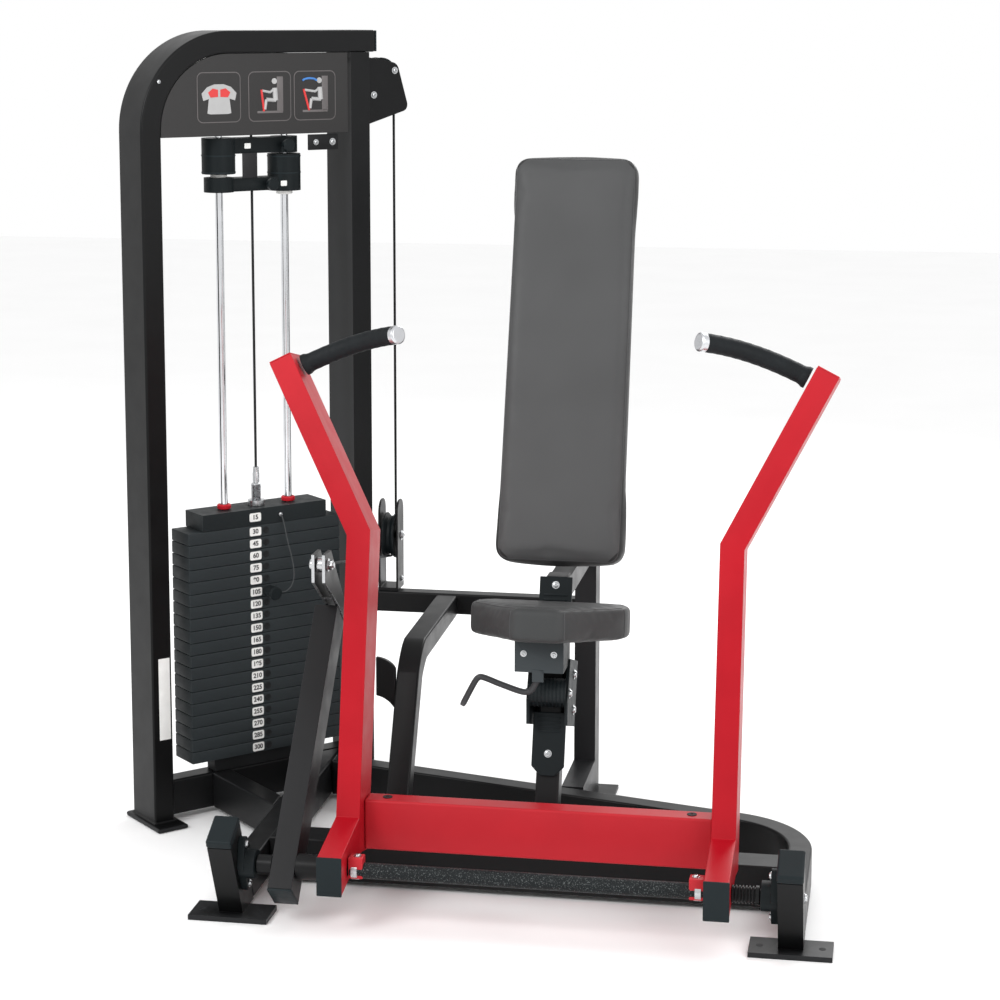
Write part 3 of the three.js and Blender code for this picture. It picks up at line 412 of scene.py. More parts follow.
def button_bolt(made, at, direction, radius=7.0, height=5.0):
    """Washer and domed head with a hexagon socket."""
    washer = radius * 1.35
    socket = radius * 0.42
    dome = [(radius, height * 0.55), (radius * 0.85, height * 0.88), (radius * 0.6, height), (socket, height)]
    add_turned(made, [(0, 0), (washer, 0), (washer, 1.4), (radius, 1.5), *dome], at, direction, 28)
    add_turned(made, [(socket, height), (socket, height * 0.4), (0, height * 0.4)], at, direction, 6)


def hex_nut(made, at, direction, radius=8.0, height=7.0):
    add_turned(made, [(0, 0), (radius * 1.25, 0), (radius * 1.25, 1.4), (0, 1.5)], at, direction, 24)
    add_turned(made, [(0, 1.4), (radius, 1.4), (radius, height), (radius * 0.6, height + 0.4),
                      (radius * 0.55, height + 4), (0, height + 4)], at, direction, 6)


def fasteners(name, body, bolts=(), nuts=()):
    made = bmesh.new()
    for at, direction, radius in bolts:
        button_bolt(made, at, direction, radius, radius * 0.75)
    for at, direction, radius in nuts:
        hex_nut(made, at, direction, radius, radius * 0.9)
    return keep(name, to_mesh(made, name), STEEL, body)


def smooth_line(points, steps=8):
    """Catmull-Rom points through the given ones."""
    ends = [points[0] * 2 - points[1]] + points + [points[-1] * 2 - points[-2]]
    line = []
    for a, b, c, d in zip(ends, ends[1:], ends[2:], ends[3:]):
        for i in range(steps):
            u = i / steps
            line.append(0.5 * ((2 * b) + (c - a) * u + (2 * a - 5 * b + 4 * c - d) * u * u
                               + (3 * b - a - 3 * c + d) * u ** 3))
    return line + [points[-1]]


def add_tube(made, line, radius, sides=16, radii=None):
    """A closed round bar through a list of points; radii may vary along it."""
    side = None
    rings = []
    for i, point in enumerate(line):
        forward = (line[min(i + 1, len(line) - 1)] - line[max(i - 1, 0)]).normalized()
        side = side or forward.orthogonal()
        side = (side - forward * side.dot(forward)).normalized()
        other = forward.cross(side)
        r = (radii[i] if radii else radius) / 1000
        turn = [2 * math.pi * k / sides for k in range(sides)]
        rings.append([made.verts.new(point + (side * math.cos(a) + other * math.sin(a)) * r) for a in turn])
    for low, high in zip(rings, rings[1:]):
        for k in range(sides):
            made.faces.new((low[k], low[(k + 1) % sides], high[(k + 1) % sides], high[k]))
    made.faces.new(list(reversed(rings[0])))
    made.faces.new(rings[-1])


def tube(name, line, radius, material, body, sides=16, radii=None):
    made = bmesh.new()
    add_tube(made, line, radius, sides, radii)
    return keep(name, to_mesh(made, name), material, body)


def lettering(name, text, at, right, up, size, material, body):
    """Plain characters lying on a surface, centred on a point."""
    curve = bpy.data.curves.new(name, "FONT")
    curve.body = text
    curve.size = size / 1000
    curve.align_x = "CENTER"
    curve.align_y = "CENTER"
    curve.extrude = 0.00015
    curve.offset = 0.0004
    piece = bpy.data.objects.new(name, curve)
    bpy.context.scene.collection.objects.link(piece)
    out = right.cross(up)
    turn = Matrix((right, up, out)).transposed().to_4x4()
    piece.matrix_world = Matrix.Translation(at) @ turn
    curve.materials.append(material)
    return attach(piece, body)


# ---------------------------------------------------------------- camera, floor and light
def set_stage():
    camera = bpy.data.objects.new("camera", bpy.data.cameras.new("camera"))
    bpy.context.scene.collection.objects.link(camera)
    camera.location = place(774, -4590, 1840)
    turn = math.radians(10.11)
    pitch = math.radians(8.63)
    camera.rotation_euler = (math.radians(90) - pitch, 0, turn)
    camera.data.lens = 87.2
    camera.data.sensor_width = 36
    camera.data.shift_x = 0.0157
    camera.data.shift_y = -0.12
    camera.data.clip_end = 60
    bpy.context.scene.camera = camera

    made = bmesh.new()
    bmesh.ops.create_grid(made, x_segments=2, y_segments=2, size=14)
    pale = Finish("floor", (0.95, 0.95, 0.95), 0.9).drift(0.01, 2).material
    floor = keep("floor", to_mesh(made, "floor"), pale, None)
    floor.location.z = -0.0005

    world = bpy.data.worlds.new("studio")
    bpy.context.scene.world = world
    world.use_nodes = True
    world.node_tree.nodes["Background"].inputs["Color"].default_value = (1, 1, 1, 1)
    world.node_tree.nodes["Background"].inputs["Strength"].default_value = 1.0
    bpy.context.scene.view_settings.view_transform = "Standard"

    for name, at, size, power in (
        ("key", (-2.4, -3.4, 3.4), 1.8, 110),
        ("fill", (3.2, -2.6, 2.4), 2.2, 50),
        ("rim", (1.2, 3.4, 3.2), 2.0, 90),
    ):
        light = bpy.data.objects.new(name, bpy.data.lights.new(name, "AREA"))
        bpy.context.scene.collection.objects.link(light)
        light.data.size = size
        light.data.energy = power
        light.location = Vector(at)
        light.rotation_euler = (Vector((0, 0, 0.8)) - Vector(at)).to_track_quat("-Z", "Y").to_euler()


# ---------------------------------------------------------------- tower
def finish_tower():
    for node in ("tower_hoop", "tower_rear_upright", "tower_bottom_beam"):
        refine(node, 6)
    for node in ("upper_pulley_guard", "front_pulley_bracket"):
        refine(node, 1.5)
    refine("placard", 1, BOARD)
    refine("stack_bumper", 3)
    for side, t in (("left", 218), ("right", 388)):
        node = f"guide_rod_{side}"
        low, high = (c.z * 1000 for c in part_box(node))
        profile = [(0, low), (8, low), (9, low + 1), (9, high - 1), (8, high), (0, high)]
        rod = turned(node + "_finished", profile, tower(t, STACK_N, 0), UP, CHROME, "frame")
        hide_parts(node)
        collar = [(10, 711), (15, 711), (16, 713), (16, 719), (14.5, 721), (10, 721)]
        turned(f"rod_collar_{side}", collar, tower(t, STACK_N, 0), UP, RED_PLASTIC, "stack")

    made = bmesh.new()
    add_block(made, tower(609, 55, 1775), (ALONG, THROUGH, UP), (4, 108, 48), 1.5)
    keep("top_beam_cap", to_mesh(made, "cap"), CAP, "frame")
    fasteners("tower_fasteners", "frame", bolts=[
        (tower(672, 20, 1706), -THROUGH, 6), (tower(614, 20, 1650), -THROUGH, 6),
        (tower(672, 80, 1706), THROUGH, 6), (tower(614, 80, 1650), THROUGH, 6),
        (tower(46, 0, 1690), -THROUGH, 3),
    ])
    made = bmesh.new()
    add_block(made, tower(30, -0.2, 300), (ALONG, THROUGH, UP), (28, 0.5, 190), 0.2)
    keep("blank_sticker", to_mesh(made, "sticker"), LABEL, "frame")


def rounded_outline(width, height, radius, steps=6):
    points = []
    for cx, cy, start in ((1, 1, 0), (-1, 1, 90), (-1, -1, 180), (1, -1, 270)):
        for i in range(steps + 1):
            a = math.radians(start + 90 * i / steps)
            points.append((cx * (width / 2 - radius) + radius * math.cos(a),
                           cy * (height / 2 - radius) + radius * math.sin(a)))
    return points


def card(name, at, right, up, outline, thickness, material, body):
    """A thin plate of any outline, standing out of the surface that it lies on."""
    out = right.cross(up)
    made = bmesh.new()
    back = [made.verts.new(at + (right * x + up * y) / 1000) for x, y in outline]
    front = [made.verts.new(v.co + out * thickness / 1000) for v in back]
    made.faces.new(front)
    made.faces.new(list(reversed(back)))
    for i in range(len(back)):
        j = (i + 1) % len(back)
        made.faces.new((back[i], back[j], front[j], front[i]))
    return keep(name, to_mesh(made, name), material, body)


def add_figure(name, t, z, lean):
    """A generic seated figure at a machine, as rounded strokes; lean raises the arms."""
    def at(u, v):
        return tower(t + u, 1.5, z + v)
    made = bmesh.new()
    strokes = [
        [(14, -14), (12, 14)], [(14, -14), (-10, -12)], [(-10, -12), (-14, -34)],
        [(12, 12), (0, 4), (-16 - lean, 8)],
    ]
    for stroke, width in zip(strokes, (6, 4.4, 3.6, 3)):
        add_tube(made, [at(u, v) for u, v in stroke], width, 12)
    add_turned(made, [(0, -2), (6.5, -2), (6.5, 1.5), (0, 1.5)], at(11, 29), -THROUGH, 24)
    keep(name, to_mesh(made, name), FIGURE, "frame")
    post = bmesh.new()
    add_block(post, at(26, 0), (ALONG, THROUGH, UP), (16, 0.6, 78), 0.2)
    add_block(post, at(0, -40), (ALONG, THROUGH, UP), (66, 0.6, 5), 0.2)
    keep(name + "_machine", to_mesh(post, name), EDGING, "frame")
    lever = bmesh.new()
    add_tube(lever, [at(-16, -38), at(-18 - lean, 10)], 2.6, 8)
    keep(name + "_lever", to_mesh(lever, name), ACCENT, "frame")


def finish_placard():
    border = rounded_outline(110, 112, 14)
    panel = rounded_outline(106, 108, 12)
    for i, t in enumerate((196, 326, 444)):
        card(f"tile_edge_{i}", tower(t, 3, 1653), ALONG, UP, border, 0.8, EDGING, "frame")
        card(f"tile_{i}", tower(t, 2.2, 1653), ALONG, UP, panel, 0.6, TILE, "frame")
    torso = [(-30, -32), (-22, -34), (22, -34), (30, -32), (26, 0), (40, -4), (44, 12), (30, 26), (12, 32),
             (-12, 32), (-30, 26), (-44, 12), (-40, -4), (-26, 0)]
    card("torso", tower(196, 1.6, 1650), ALONG, UP, torso, 0.5, FIGURE, "frame")
    for side in (-1, 1):
        chest = [(side * 3, 4), (side * 3, 20), (side * 16, 23), (side * 28, 14), (side * 22, 3)]
        card(f"chest_{side + 1}", tower(196, 1.1, 1650), ALONG, UP, chest[::side], 0.5, ACCENT, "frame")
    add_figure("figure_start", 326, 1658, 4)
    add_figure("figure_end", 444, 1658, 12)
    made = bmesh.new()
    arc = [tower(430 + 20 * math.cos(math.radians(a)), 1.5, 1684 + 8 * math.sin(math.radians(a)))
           for a in range(20, 161, 10)]
    add_tube(made, arc, 2.4, 8)
    keep("motion_arc", to_mesh(made, "arc"), BLUE, "frame")
    made = bmesh.new()
    add_block(made, tower(470, 12, 1546), (ALONG, THROUGH, UP), (80, 4, 36), 1.5)
    keep("placard_bracket", to_mesh(made, "bracket"), BLACK, "frame")
    fasteners("placard_screws", "frame", bolts=[
        (tower(450, 10, 1546), -THROUGH, 5), (tower(494, 10, 1546), -THROUGH, 6)])


# ---------------------------------------------------------------- stack
PITCH, FIRST_Z, RESTING, PLATES = 28.5, 130, 13, 19
STACK_HALF = 42


def stack_plates(name, first, count, node, body):
    """Separate plates with rolled edges; the pin holes show as dark sockets."""
    made = bmesh.new()
    for i in range(first, first + count):
        z = FIRST_Z + i * PITCH + 14
        add_block(made, tower(STACK_T, STACK_N, z), (ALONG, THROUGH, UP), (400, 84, 27.6), 2.6)
    piece = keep(name, to_mesh(made, name), PLATE, body)
    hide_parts(node)
    made = bmesh.new()
    for i in range(first, first + count):
        z = FIRST_Z + i * PITCH + 14.25
        ring = [(8, 0), (8, 1), (6.5, 1.2), (5.6, 0.4), (5.6, 0.1), (0, 0.1)]
        add_turned(made, ring, tower(STACK_T, STACK_N - STACK_HALF - 0.1, z), -THROUGH, 24)
    keep(name + "_holes", to_mesh(made, name), RUBBER, body)


def stack_labels():
    for i in range(PLATES):
        body = "frame" if i < RESTING else "stack"
        z = FIRST_Z + i * PITCH + 13.5
        at = tower(STACK_T - 27, STACK_N - STACK_HALF - 0.05, z)
        card(f"label_{i}", at, ALONG, UP, rounded_outline(30, 20, 4), 0.5, LABEL, body)
        lettering(f"number_{i}", str(300 - 15 * i), at - THROUGH * 0.0007, ALONG, UP, 15, INK, body)
    at = tower(STACK_T - 27, STACK_N - STACK_HALF - 0.05, 690)
    card("label_head", at, ALONG, UP, rounded_outline(30, 20, 4), 0.5, LABEL, "stack")
    lettering("number_head", "15", at - THROUGH * 0.0007, ALONG, UP, 15, INK, "stack")


def finish_stack():
    stack_plates("resting_stack", 0, RESTING, "resting_plates", "frame")
    stack_plates("lifted_stack", RESTING, PLATES - RESTING, "lifted_plates", "stack")
    refine("head_plate", 4)
    stack_labels()

    thread = []
    for i in range(22):
        z = 724 + i * 1.6
        thread += [(10.5, z), (11.8, z + 0.8)]
    profile = [(0, 150), (9, 150), (11, 153), (11, 710.3), (20, 710.3), (20, 722), (14, 722.5), *thread,
               (11, 760), (8, 762), (8, 784), (7.2, 786), (7.2, 799), (5, 800), (0, 800)]
    at = tower(STACK_T, STACK_N, 0)
    rod = turned("selector_rod_finished", profile, at, UP, STEEL, "stack")
    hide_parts("selector_rod")

    knob = [(0, 0), (4.8, 0.5), (4.8, 40), (11, 40)]
    for i in range(4):
        knob += [(13 - i * 0.4, 42 + i * 6), (14.6, 44 + i * 6), (14.6, 46 + i * 6), (12.6, 47.5 + i * 6)]
    knob += [(16, 70), (16, 74), (13, 76.8), (0, 77)]
    at = tower(STACK_T, 38, 514.75)
    pin = turned("selector_pin_finished", knob, at, -THROUGH, PLASTIC, "pin")
    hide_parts("selector_pin")
    finish_lanyard()


def finish_lanyard():
    """The cord between the head plate and the pin, along the route of its CAD solid."""
    head, front = 709.5, STACK_N - STACK_HALF
    z = head - 20
    route = [tower(STACK_T + t, front - n, z - drop) for t, n, drop in (
        (40, 2.5, 0), (41, 8, 8), (44, 13, 30), (48, 17, 60), (54, 22, 92), (58, 26, 122),
        (57, 29, 146), (49, 31, 165), (37, 31, 175), (27, 30, 177), (18.5, 29, 177))]
    line = smooth_line(route, 10)
    cord = tube("pin_lanyard_cord", line, 1.5, CORD, None, 12)
    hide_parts("pin_lanyard")
    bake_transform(cord)
    ferrule = [(0, 0), (2.6, 0), (2.6, 5), (2, 6), (0, 6)]
    beside_knob = tower(STACK_T + 14.5, front - 29, z - 177)
    turned("lanyard_ferrule", ferrule, beside_knob, ALONG, STEEL, "pin")
    button = [(0, 0), (4.5, 0), (4.5, 1.2), (2.5, 2.4), (0, 2.4)]
    anchor = tower(STACK_T + 40, front, z)
    turned("lanyard_anchor", button, anchor, -THROUGH, STEEL, "stack", 20)


def finish_addons():
    refine("addon_upper", 2.5)
    refine("addon_lower", 2.5)
    front = 26
    knob = [(0, 0), (4, 0), (4, 21), (10, 21.5), (14, 29), (14, 39), (12, 41), (0, 41)]
    piece = turned("addon_knob_finished", knob, tower(330, front + 9, 1455), -THROUGH, PLASTIC, "addon_pin")
    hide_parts("addon_knob")
    turned("addon_knob_upper", [(0, 0), (5, 0), (5, 12), (10, 12.5), (14, 20), (14, 30), (12, 32), (0, 32)],
           tower(372, front, 1542), -THROUGH, PLASTIC, "frame")
    made = bmesh.new()
    add_block(made, tower(284, front - 2, 1498), (ALONG, THROUGH, UP), (38, 3, 56), 1)
    keep("addon_strap", to_mesh(made, "strap"), GREY, "frame")
    for side, t, z, body in (("left", 218, 1480, "frame"), ("right", 388, 1437, "addon")):
        turned(f"bushing_{side}", [(10, -1), (19, -1), (19, -7), (16, -9), (10, -9), (10, -1)],
               tower(t, STACK_N, z), UP, WHITE_PLASTIC, body)
        band = [(36, 0), (38.8, 0), (38.8, 3), (36, 3), (36, 0)]
        for k in range(2):
            height = (1482 if side == "left" else 1476) + k * 38
            turned(f"barrel_band_{side}_{k}", band, tower(t, STACK_N, height), UP, CAP, body)
    label = rounded_outline(16, 12, 2)
    card("addon_label_upper", tower(280, front, 1542), ALONG, UP, label, 0.5, LABEL, "frame")
    card("addon_label_lower", tower(366, front - 12.5, 1455), ALONG, UP, label, 0.5, LABEL, "addon")


# ---------------------------------------------------------------- wheels and cable
def finish_wheels():
    for node in ("top_pulley_front", "top_pulley_rear", "lower_pulley"):
        refine(node, 1)
    refine("lower_pulley_bracket", 2)
    low = middle("lower_pulley")
    fasteners("wheel_bolts", "frame", bolts=[
        (Vector((low.x + side * 0.024, low.y + dy, low.z + dz)), X * side, 9 if dz == 0 else 6)
        for side in (-1, 1) for dy, dz in ((0, 0), (0, -0.106))
    ])


def finish_cable():
    piece = refine("upper_cable", 0.3)
    piece.modifiers.clear()
    low, high = (c.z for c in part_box("tower_cable"))
    at = tower(STACK_T, STACK_N, 0)
    steps = [at + UP * (low + (high - low) * i / 24) for i in range(25)]
    rising = tube("tower_cable_finished", steps, 3, RUBBER, "frame", 14)
    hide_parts("tower_cable")
    lift = next(j["range_m"][1] for j in frame["joints"] if j["name"] == "stack_lift")
    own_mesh(rising)

    low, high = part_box("lever_cable")
    x = (low.x + high.x) / 2
    start, end = Vector((x, high.y - 0.0006, low.z + 0.003)), Vector((x, low.y + 0.0006, high.z - 0.003))
    moving = tube("lever_cable_finished", [start, end], 3, RUBBER, "eye", 14)
    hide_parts("lever_cable")
    # The length that the wheel pays out lies inside the moving stretch until the lever draws it away.
    reach = start + (end - start).normalized() * (lift + 0.01)
    tube("lever_cable_paid_out", [start, reach], 2.9, RUBBER, "frame", 14)
    refine("cable_eye", 0.8)


# ---------------------------------------------------------------- base
def finish_base():
    for node in ("left_base_tube", "cross_tube", "curved_base_tube", "tower_brace_tube", "left_post",
                 "right_post", "back_upright", "rear_beam", "curved_brace", "seat_rail"):
        refine(node, 5)
    refine("back_pad_bracket", 3)
    refine("brace_bracket", 3)
    for side in ("left", "right"):
        refine(f"{side}_post_cap", 5, CAP)
        refine(f"{side}_bearing", 2.5)
    bolts = []
    hole = [(0, 0.3), (7, 0.3), (7, -1), (0, -1)]
    for side, x in (("left", -575), ("right", 569)):
        inward = 1 if side == "left" else -1
        for dx in (-62, 62):
            at = place(x + dx, 18, 10.5)
            turned(f"foot_hole_{side}_{dx + 62}", hole, at, UP, RUBBER, "frame")
        for sign in (-1, 1):
            y = -sign * 46 * math.sin(math.radians(12))
            z = 120 + sign * 46 * math.cos(math.radians(12))
            bolts.append((place(x + inward * 39.3, y, z), X * inward, 6.5))
        bolts.append((place(x - inward * 25, 0, 120), -X * inward, 8))
    fasteners("base_fasteners", "frame", bolts=bolts)
    made = bmesh.new()
    add_block(made, place(CENTRE_X, 920, 1421.5), (X, Y, Z), (50, 70, 4), 1.5)
    keep("upright_cap", to_mesh(made, "cap"), CAP, "frame")


# ---------------------------------------------------------------- seat
def finish_seat():
    for node in ("rail_cover_lower", "rail_cover_upper"):
        refine(node, 2)
    refine("seat_carriage", 2.5)

    def level(z):
        return (z - RAIL_BASE[2]) / math.cos(SEAT_LEAN)

    made = bmesh.new()
    for z, width in ((332, 48), (341, 48), (350, 48), (359, 48), (588, 50), (598, 50), (608, 50)):
        add_block(made, on_rail(0, 9, level(z)), (X, RAIL_OUT, RAIL_UP), (width, 3, 4), 0.8)
    keep("cover_ribs", to_mesh(made, "ribs"), CAP, "frame")
    fasteners("cover_screws", "frame", bolts=[
        (on_rail(0, 8.3, level(287)), RAIL_OUT, 6), (on_rail(0, 8.3, level(628)), RAIL_OUT, 6)])
    made = bmesh.new()
    for x in range(-36, 37, 8):
        add_turned(made, [(29, -1.6), (30.8, -1.2), (30.8, 1.2), (29, 1.6)], on_rail(x, 40, 128), X, 40)
    keep("roller_ribs", to_mesh(made, "ribs"), PLASTIC, "seat")
    fasteners("carriage_bolts", "seat", bolts=[
        (on_rail(side * 44, out, up), X * side, 8)
        for side in (-1, 1) for out, up in ((40, 128), (-30, 95), (-20, 170))
    ] + [(place(CENTRE_X + 20, 250, 520), -Y, 5), (place(CENTRE_X - 44, 250, 520), -Y, 5)])

    y = 262
    route = [place(x, y, z) for x, z in (
        (24, 474), (22, 462), (10, 440), (0, 434), (-18, 436), (-58, 449), (-92, 461), (-104, 460),
        (-114, 446), (-138, 399))]
    line = smooth_line(route, 8)
    radii = [6.5] * len(line)
    radii[0] = radii[-1] = 5.4
    handle = tube("seat_handle_finished", line, 6.5, HANDLE, "handle", 20, radii)
    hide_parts("seat_handle")
    fasteners("handle_nut", "handle", nuts=[(place(24, 255.6, 470), Y, 5)])


# ---------------------------------------------------------------- pads
def inflated(node, name, shrink, cap, round_edge, pressure, voxel=0.006):
    """A smaller copy of the pad's solid, blown up by cloth pressure, with each point's travel capped."""
    mesh = to_mesh(clean_copy(node), name)
    centre = middle(node)
    mesh.transform(Matrix.Translation(centre) @ Matrix.Scale(shrink, 4) @ Matrix.Translation(-centre))
    pad = bpy.data.objects.new(name, mesh)
    bpy.context.scene.collection.objects.link(pad)
    bpy.context.view_layer.objects.active = pad
    pad.select_set(True)
    edge = pad.modifiers.new("edge", "BEVEL")
    edge.width = round_edge
    edge.segments = 4
    edge.limit_method = "ANGLE"
    bpy.ops.object.modifier_apply(modifier="edge")
    remesh = pad.modifiers.new("remesh", "REMESH")
    remesh.mode = "VOXEL"
    remesh.voxel_size = voxel
    bpy.ops.object.modifier_apply(modifier="remesh")
    rest = [v.co.copy() for v in pad.data.vertices]
    cloth = pad.modifiers.new("cloth", "CLOTH")
    cloth.settings.use_pressure = True
    cloth.settings.uniform_pressure_force = pressure
    cloth.settings.effector_weights.gravity = 0
    cloth.settings.tension_stiffness = 60
    cloth.settings.compression_stiffness = 60
    cloth.settings.bending_stiffness = 8
    cloth.settings.quality = 5
    for step in range(1, 21):
        bpy.context.scene.frame_set(step)
    bpy.ops.object.modifier_apply(modifier="cloth")
    bpy.context.scene.frame_set(1)
    for vertex, start in zip(pad.data.vertices, rest):
        move = vertex.co - start
        if move.length > cap:
            vertex.co = start + move * (cap / move.length)
    smooth = pad.modifiers.new("smooth", "SMOOTH")
    smooth.factor = 0.5
    smooth.iterations = 8
    bpy.ops.object.modifier_apply(modifier="smooth")
    finer = pad.modifiers.new("finer", "SUBSURF")
    finer.levels = finer.render_levels = 1
    bpy.ops.object.modifier_apply(modifier="finer")
    pad.select_set(False)
    pad.data.shade_smooth()
    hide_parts(node)
    return pad


def colour_panel(pad, face, side, outline, out):
    """The panel inside the outline takes the face material, with its border cut into the mesh."""
    made = bmesh.new()
    made.from_mesh(pad.data)
    walls = []
    for a, b in zip(outline, outline[1:] + outline[:1]):
        inward = out.cross(b - a).normalized()
        walls.append((a, inward))
        pieces = list(made.verts) + list(made.edges) + list(made.faces)
        bmesh.ops.bisect_plane(made, geom=pieces, dist=1e-6, plane_co=a, plane_no=inward)
    made.to_mesh(pad.data)
    made.free()
    pad.data.materials.clear()
    pad.data.materials.append(face)
    pad.data.materials.append(side)
    for polygon in pad.data.polygons:
        inside = all((polygon.center - a).dot(inward) > 0 for a, inward in walls)
        polygon.material_index = 0 if inside and polygon.normal.dot(out) > 0.2 else 1


def sewn_line(name, pad, starts, inward, body, radius=1.1):
    """A seam that lies on the pad: each start is cast inward on to its surface."""
    tree = BVHTree.FromObject(pad, bpy.context.evaluated_depsgraph_get())
    line = []
    for start in starts:
        hit = tree.ray_cast(start, inward)[0]
        if hit:
            line.append(hit)
    return tube(name, line, radius, THREAD, body, 8)


def finish_back_pad():
    pad = inflated("back_pad", "back_pad_upholstery", shrink=0.988, cap=0.005, round_edge=0.014, pressure=3.0)
    up = Vector((0, math.sin(BACK_LEAN), math.cos(BACK_LEAN)))
    out = Vector((0, -math.cos(BACK_LEAN), math.sin(BACK_LEAN)))
    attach(pad, "frame")
    base = place(CENTRE_X, 426, 668)
    width, length = 285, 905
    margin, corner = 11, 26
    wide, high = width / 2 - margin, length / 2 - margin
    octagon = [(wide, corner - high), (wide, high - corner), (wide - corner, high), (corner - wide, high),
               (-wide, high - corner), (-wide, corner - high), (corner - wide, -high), (wide - corner, -high)]
    border = [base + (X * x + up * (y + length / 2)) / 1000 for x, y in octagon]
    colour_panel(pad, PAD_FACE, PAD_SIDE, border, out)
    loop = [base + (X * x + up * (y + length / 2)) / 1000 + out * 0.1
            for x, y in rounded_outline(width - 26, length - 26, 22, 8)]
    loop = [a.lerp(b, i / 14) for a, b in zip(loop, loop[1:] + loop[:1]) for i in range(14)]
    sewn_line("back_pad_seam", pad, loop + loop[:1], -out, "frame", 0.9)


def finish_seat_pad():
    pad = inflated("seat_pad", "seat_pad_upholstery", shrink=0.985, cap=0.0035, round_edge=0.009,
                   pressure=1.5, voxel=0.005)
    up = Vector((0, math.sin(SEAT_TILT), math.cos(SEAT_TILT)))
    back = Vector((0, math.cos(SEAT_TILT), -math.sin(SEAT_TILT)))
    pad.data.materials.clear()
    pad.data.materials.append(SEAT_TOP)
    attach(pad, "seat")
    base = place(CENTRE_X, 130, 576)
    corners = (("nose", 57, 12, 0.45, 0.9), ("shoulder", 162, 160, 0.9, 0.3))
    for side in (-1, 1):
        for name, x, deep, sideways, backward in corners:
            aim = (X * -side * sideways + back * backward).normalized()
            corner = base + (X * side * x + back * deep) / 1000
            starts = [corner + up * h / 1000 - aim * 0.1 for h in range(6, 66, 3)]
            sewn_line(f"seat_seam_{name}_{side + 1}", pad, starts, aim, "seat", 1.0)
    inset = 14
    edge = [(-48, 0), (48, 0), (168, 165), (168, 230), (150, 243), (-150, 243), (-168, 230), (-168, 165)]
    shrink = [(x * (1 - inset / 170), inset + y * (1 - 2 * inset / 245)) for x, y in edge]
    starts = [base + (X * x + back * y) / 1000 + up * 0.2 for x, y in shrink]
    starts = [a.lerp(b, i / 30) for a, b in zip(starts, starts[1:] + starts[:1]) for i in range(30)]
    sewn_line("seat_top_seam", pad, starts + starts[:1], -up, "seat", 1.0)


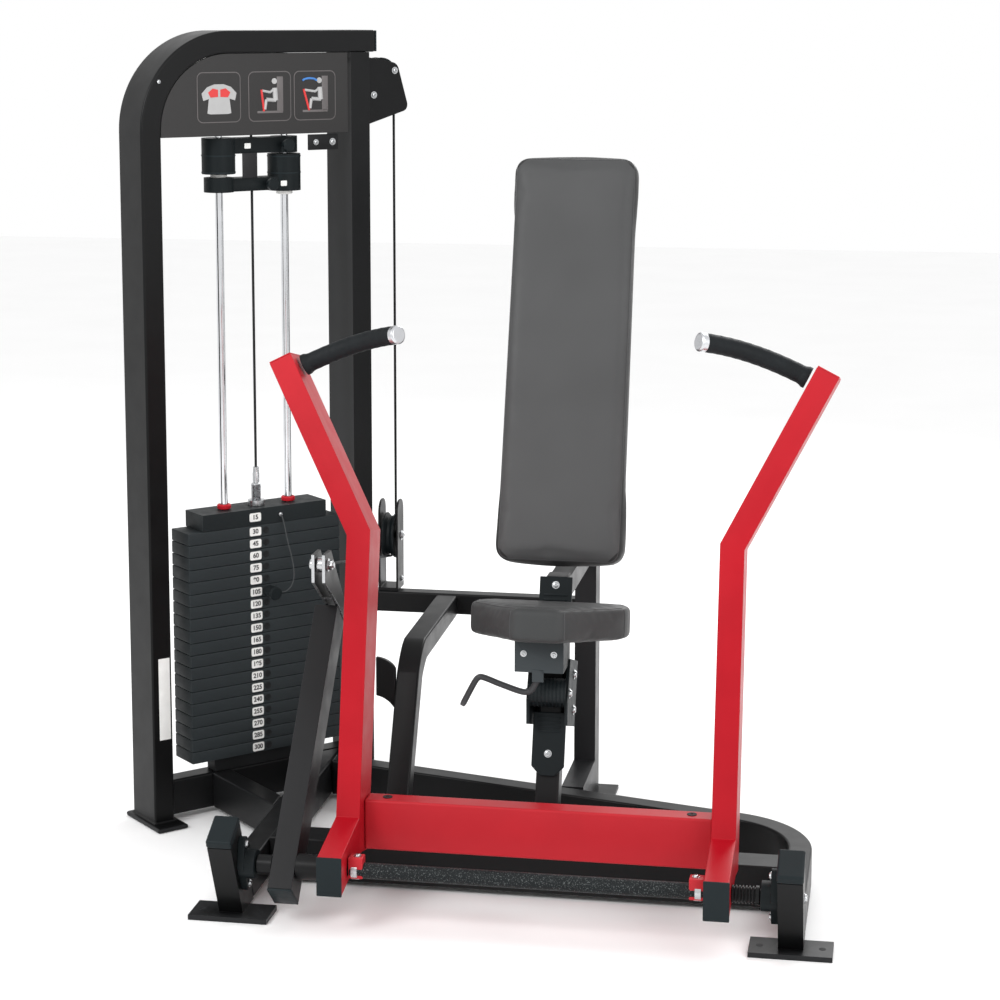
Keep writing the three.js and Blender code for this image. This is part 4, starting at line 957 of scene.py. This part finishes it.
# ---------------------------------------------------------------- press arms
def finish_arms():
    for node in ("left_arm", "right_arm", "cross_beam"):
        refine(node, 5)
    made = bmesh.new()
    plugs = bmesh.new()
    lugs = bmesh.new()
    bolts = []
    lean_up = Vector((0, math.sin(ARM_LEAN), math.cos(ARM_LEAN)))
    lean_back = Vector((0, math.cos(ARM_LEAN), -math.sin(ARM_LEAN)))
    splay = math.radians(27)
    for side, sign in (("left", -1), ("right", 1)):
        x = CENTRE_X + sign * 388
        add_block(made, place(x, -62.5, 124.5), (X, Y, Z), (52, 5, 81), 2)
        outward = X * sign * math.sin(splay) + lean_up * math.cos(splay)
        across = X * sign * math.cos(splay) - lean_up * math.sin(splay)
        height = (1121 - 120) / math.cos(ARM_LEAN)
        tip_x = 388 + (height - (770 - 120) / math.cos(ARM_LEAN)) * math.tan(splay)
        front_y = 104 - (194 - 120) * math.tan(ARM_LEAN)
        tip = place(CENTRE_X + sign * tip_x, front_y, 120) + lean_up * height / 1000 + lean_back * 0.05
        add_block(plugs, tip + outward * 0.0018, (across, lean_back, outward), (49, 98, 3.5), 1.2)
        grip = smooth_grip(sign)
        ripple = [19.6 + 0.25 * math.sin(i * 1.7) for i in range(3, len(grip))]
        swell = [23, 23, 20.5, *ripple]
        swell[-1] = 18.8
        piece = tube(f"{side}_grip_foam", grip, 19.5, FOAM, "press_arms", 32, swell)
        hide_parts(f"{side}_grip")
        refine(f"{side}_grip_end", 1.2)
        inner = x - sign * 27
        add_block(lugs, place(inner - sign * 16, 0, 128), (X, Y, Z), (30, 30, 44), 3)
        bolts.append((place(inner - sign * 18, 0, 150), UP, 6))
        bolts.append((place(inner - sign * 18, 0, 106), -UP, 6))
        ring = [(3, 0.2), (3, 1.4), (10, 1.4), (10, -0.5), (3, -0.5), (3, 0.2)]
        at = place(x - sign * 70, 172, 219)
        turned(f"beam_plug_{side}", ring, at, UP, RUBBER, "press_arms")
    keep("arm_foot_caps", to_mesh(made, "caps"), CAP, "press_arms")
    keep("arm_top_caps", to_mesh(plugs, "plugs"), RED, "press_arms")
    keep("shaft_lugs", to_mesh(lugs, "lugs"), RED, "press_arms")
    fasteners("arm_fasteners", "press_arms", bolts=bolts)


def smooth_grip(sign):
    """Centre line of a grip, from the arm to its free end."""
    through = ((529, 338, 1102), (415, 346, 1158), (322, 279, 1178))
    a, b, c = (place(CENTRE_X + sign * x, y, z) for x, y, z in through)
    return [a.lerp(b, i / 40).lerp(b.lerp(c, i / 40), i / 40) for i in range(41)]


def finish_shaft():
    refine("pivot_shaft", 1, BLACK)
    refine("textured_bar", 1, WRINKLE)
    low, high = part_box("textured_bar")
    centre = middle("textured_bar")
    collar = [(16.8, 4), (18.5, 4), (18.5, 16), (16.8, 17), (16.8, 4)]
    made = bmesh.new()
    for x, inward in ((low.x, X), (high.x, -X)):
        add_turned(made, collar, Vector((x, centre.y, centre.z)), inward, 32)
    keep("bar_collars", to_mesh(made, "collars"), STEEL, "press_arms")


# ---------------------------------------------------------------- lever
def finish_lever():
    refine("lever", 5)
    clevis_piece = refine("lever_clevis", 2.5, BLACK)
    # Painted highlight: the clevis faces that point to the front take bright steel, the rest stay black.
    clevis_piece.data.materials.append(STEEL)
    for polygon in clevis_piece.data.polygons:
        polygon.material_index = 1 if polygon.normal.y < -0.5 else 0
    clevis = middle("cable_eye").x
    bolt = place(0, 275, 686)
    at = Vector((clevis, bolt.y, bolt.z))
    fasteners("clevis_bolt", "press_arms", bolts=[(at - X * 0.0152, -X, 12)], nuts=[(at + X * 0.0152, X, 11)])
    made = bmesh.new()
    along = Vector((0, 419, 486)).normalized()
    across = Vector((0, 486, -419)).normalized()
    foot = place(-456, -52, 90) + across * 0.0375 - along * 0.0025
    add_block(made, foot, (X, across, along), (51, 76, 5), 2)
    keep("lever_foot_cap", to_mesh(made, "cap"), CAP, "press_arms")


set_stage()
finish_tower()
finish_placard()
finish_stack()
finish_addons()
finish_wheels()
finish_cable()
finish_base()
finish_seat()
finish_back_pad()
finish_seat_pad()
finish_arms()
finish_shaft()
finish_lever()
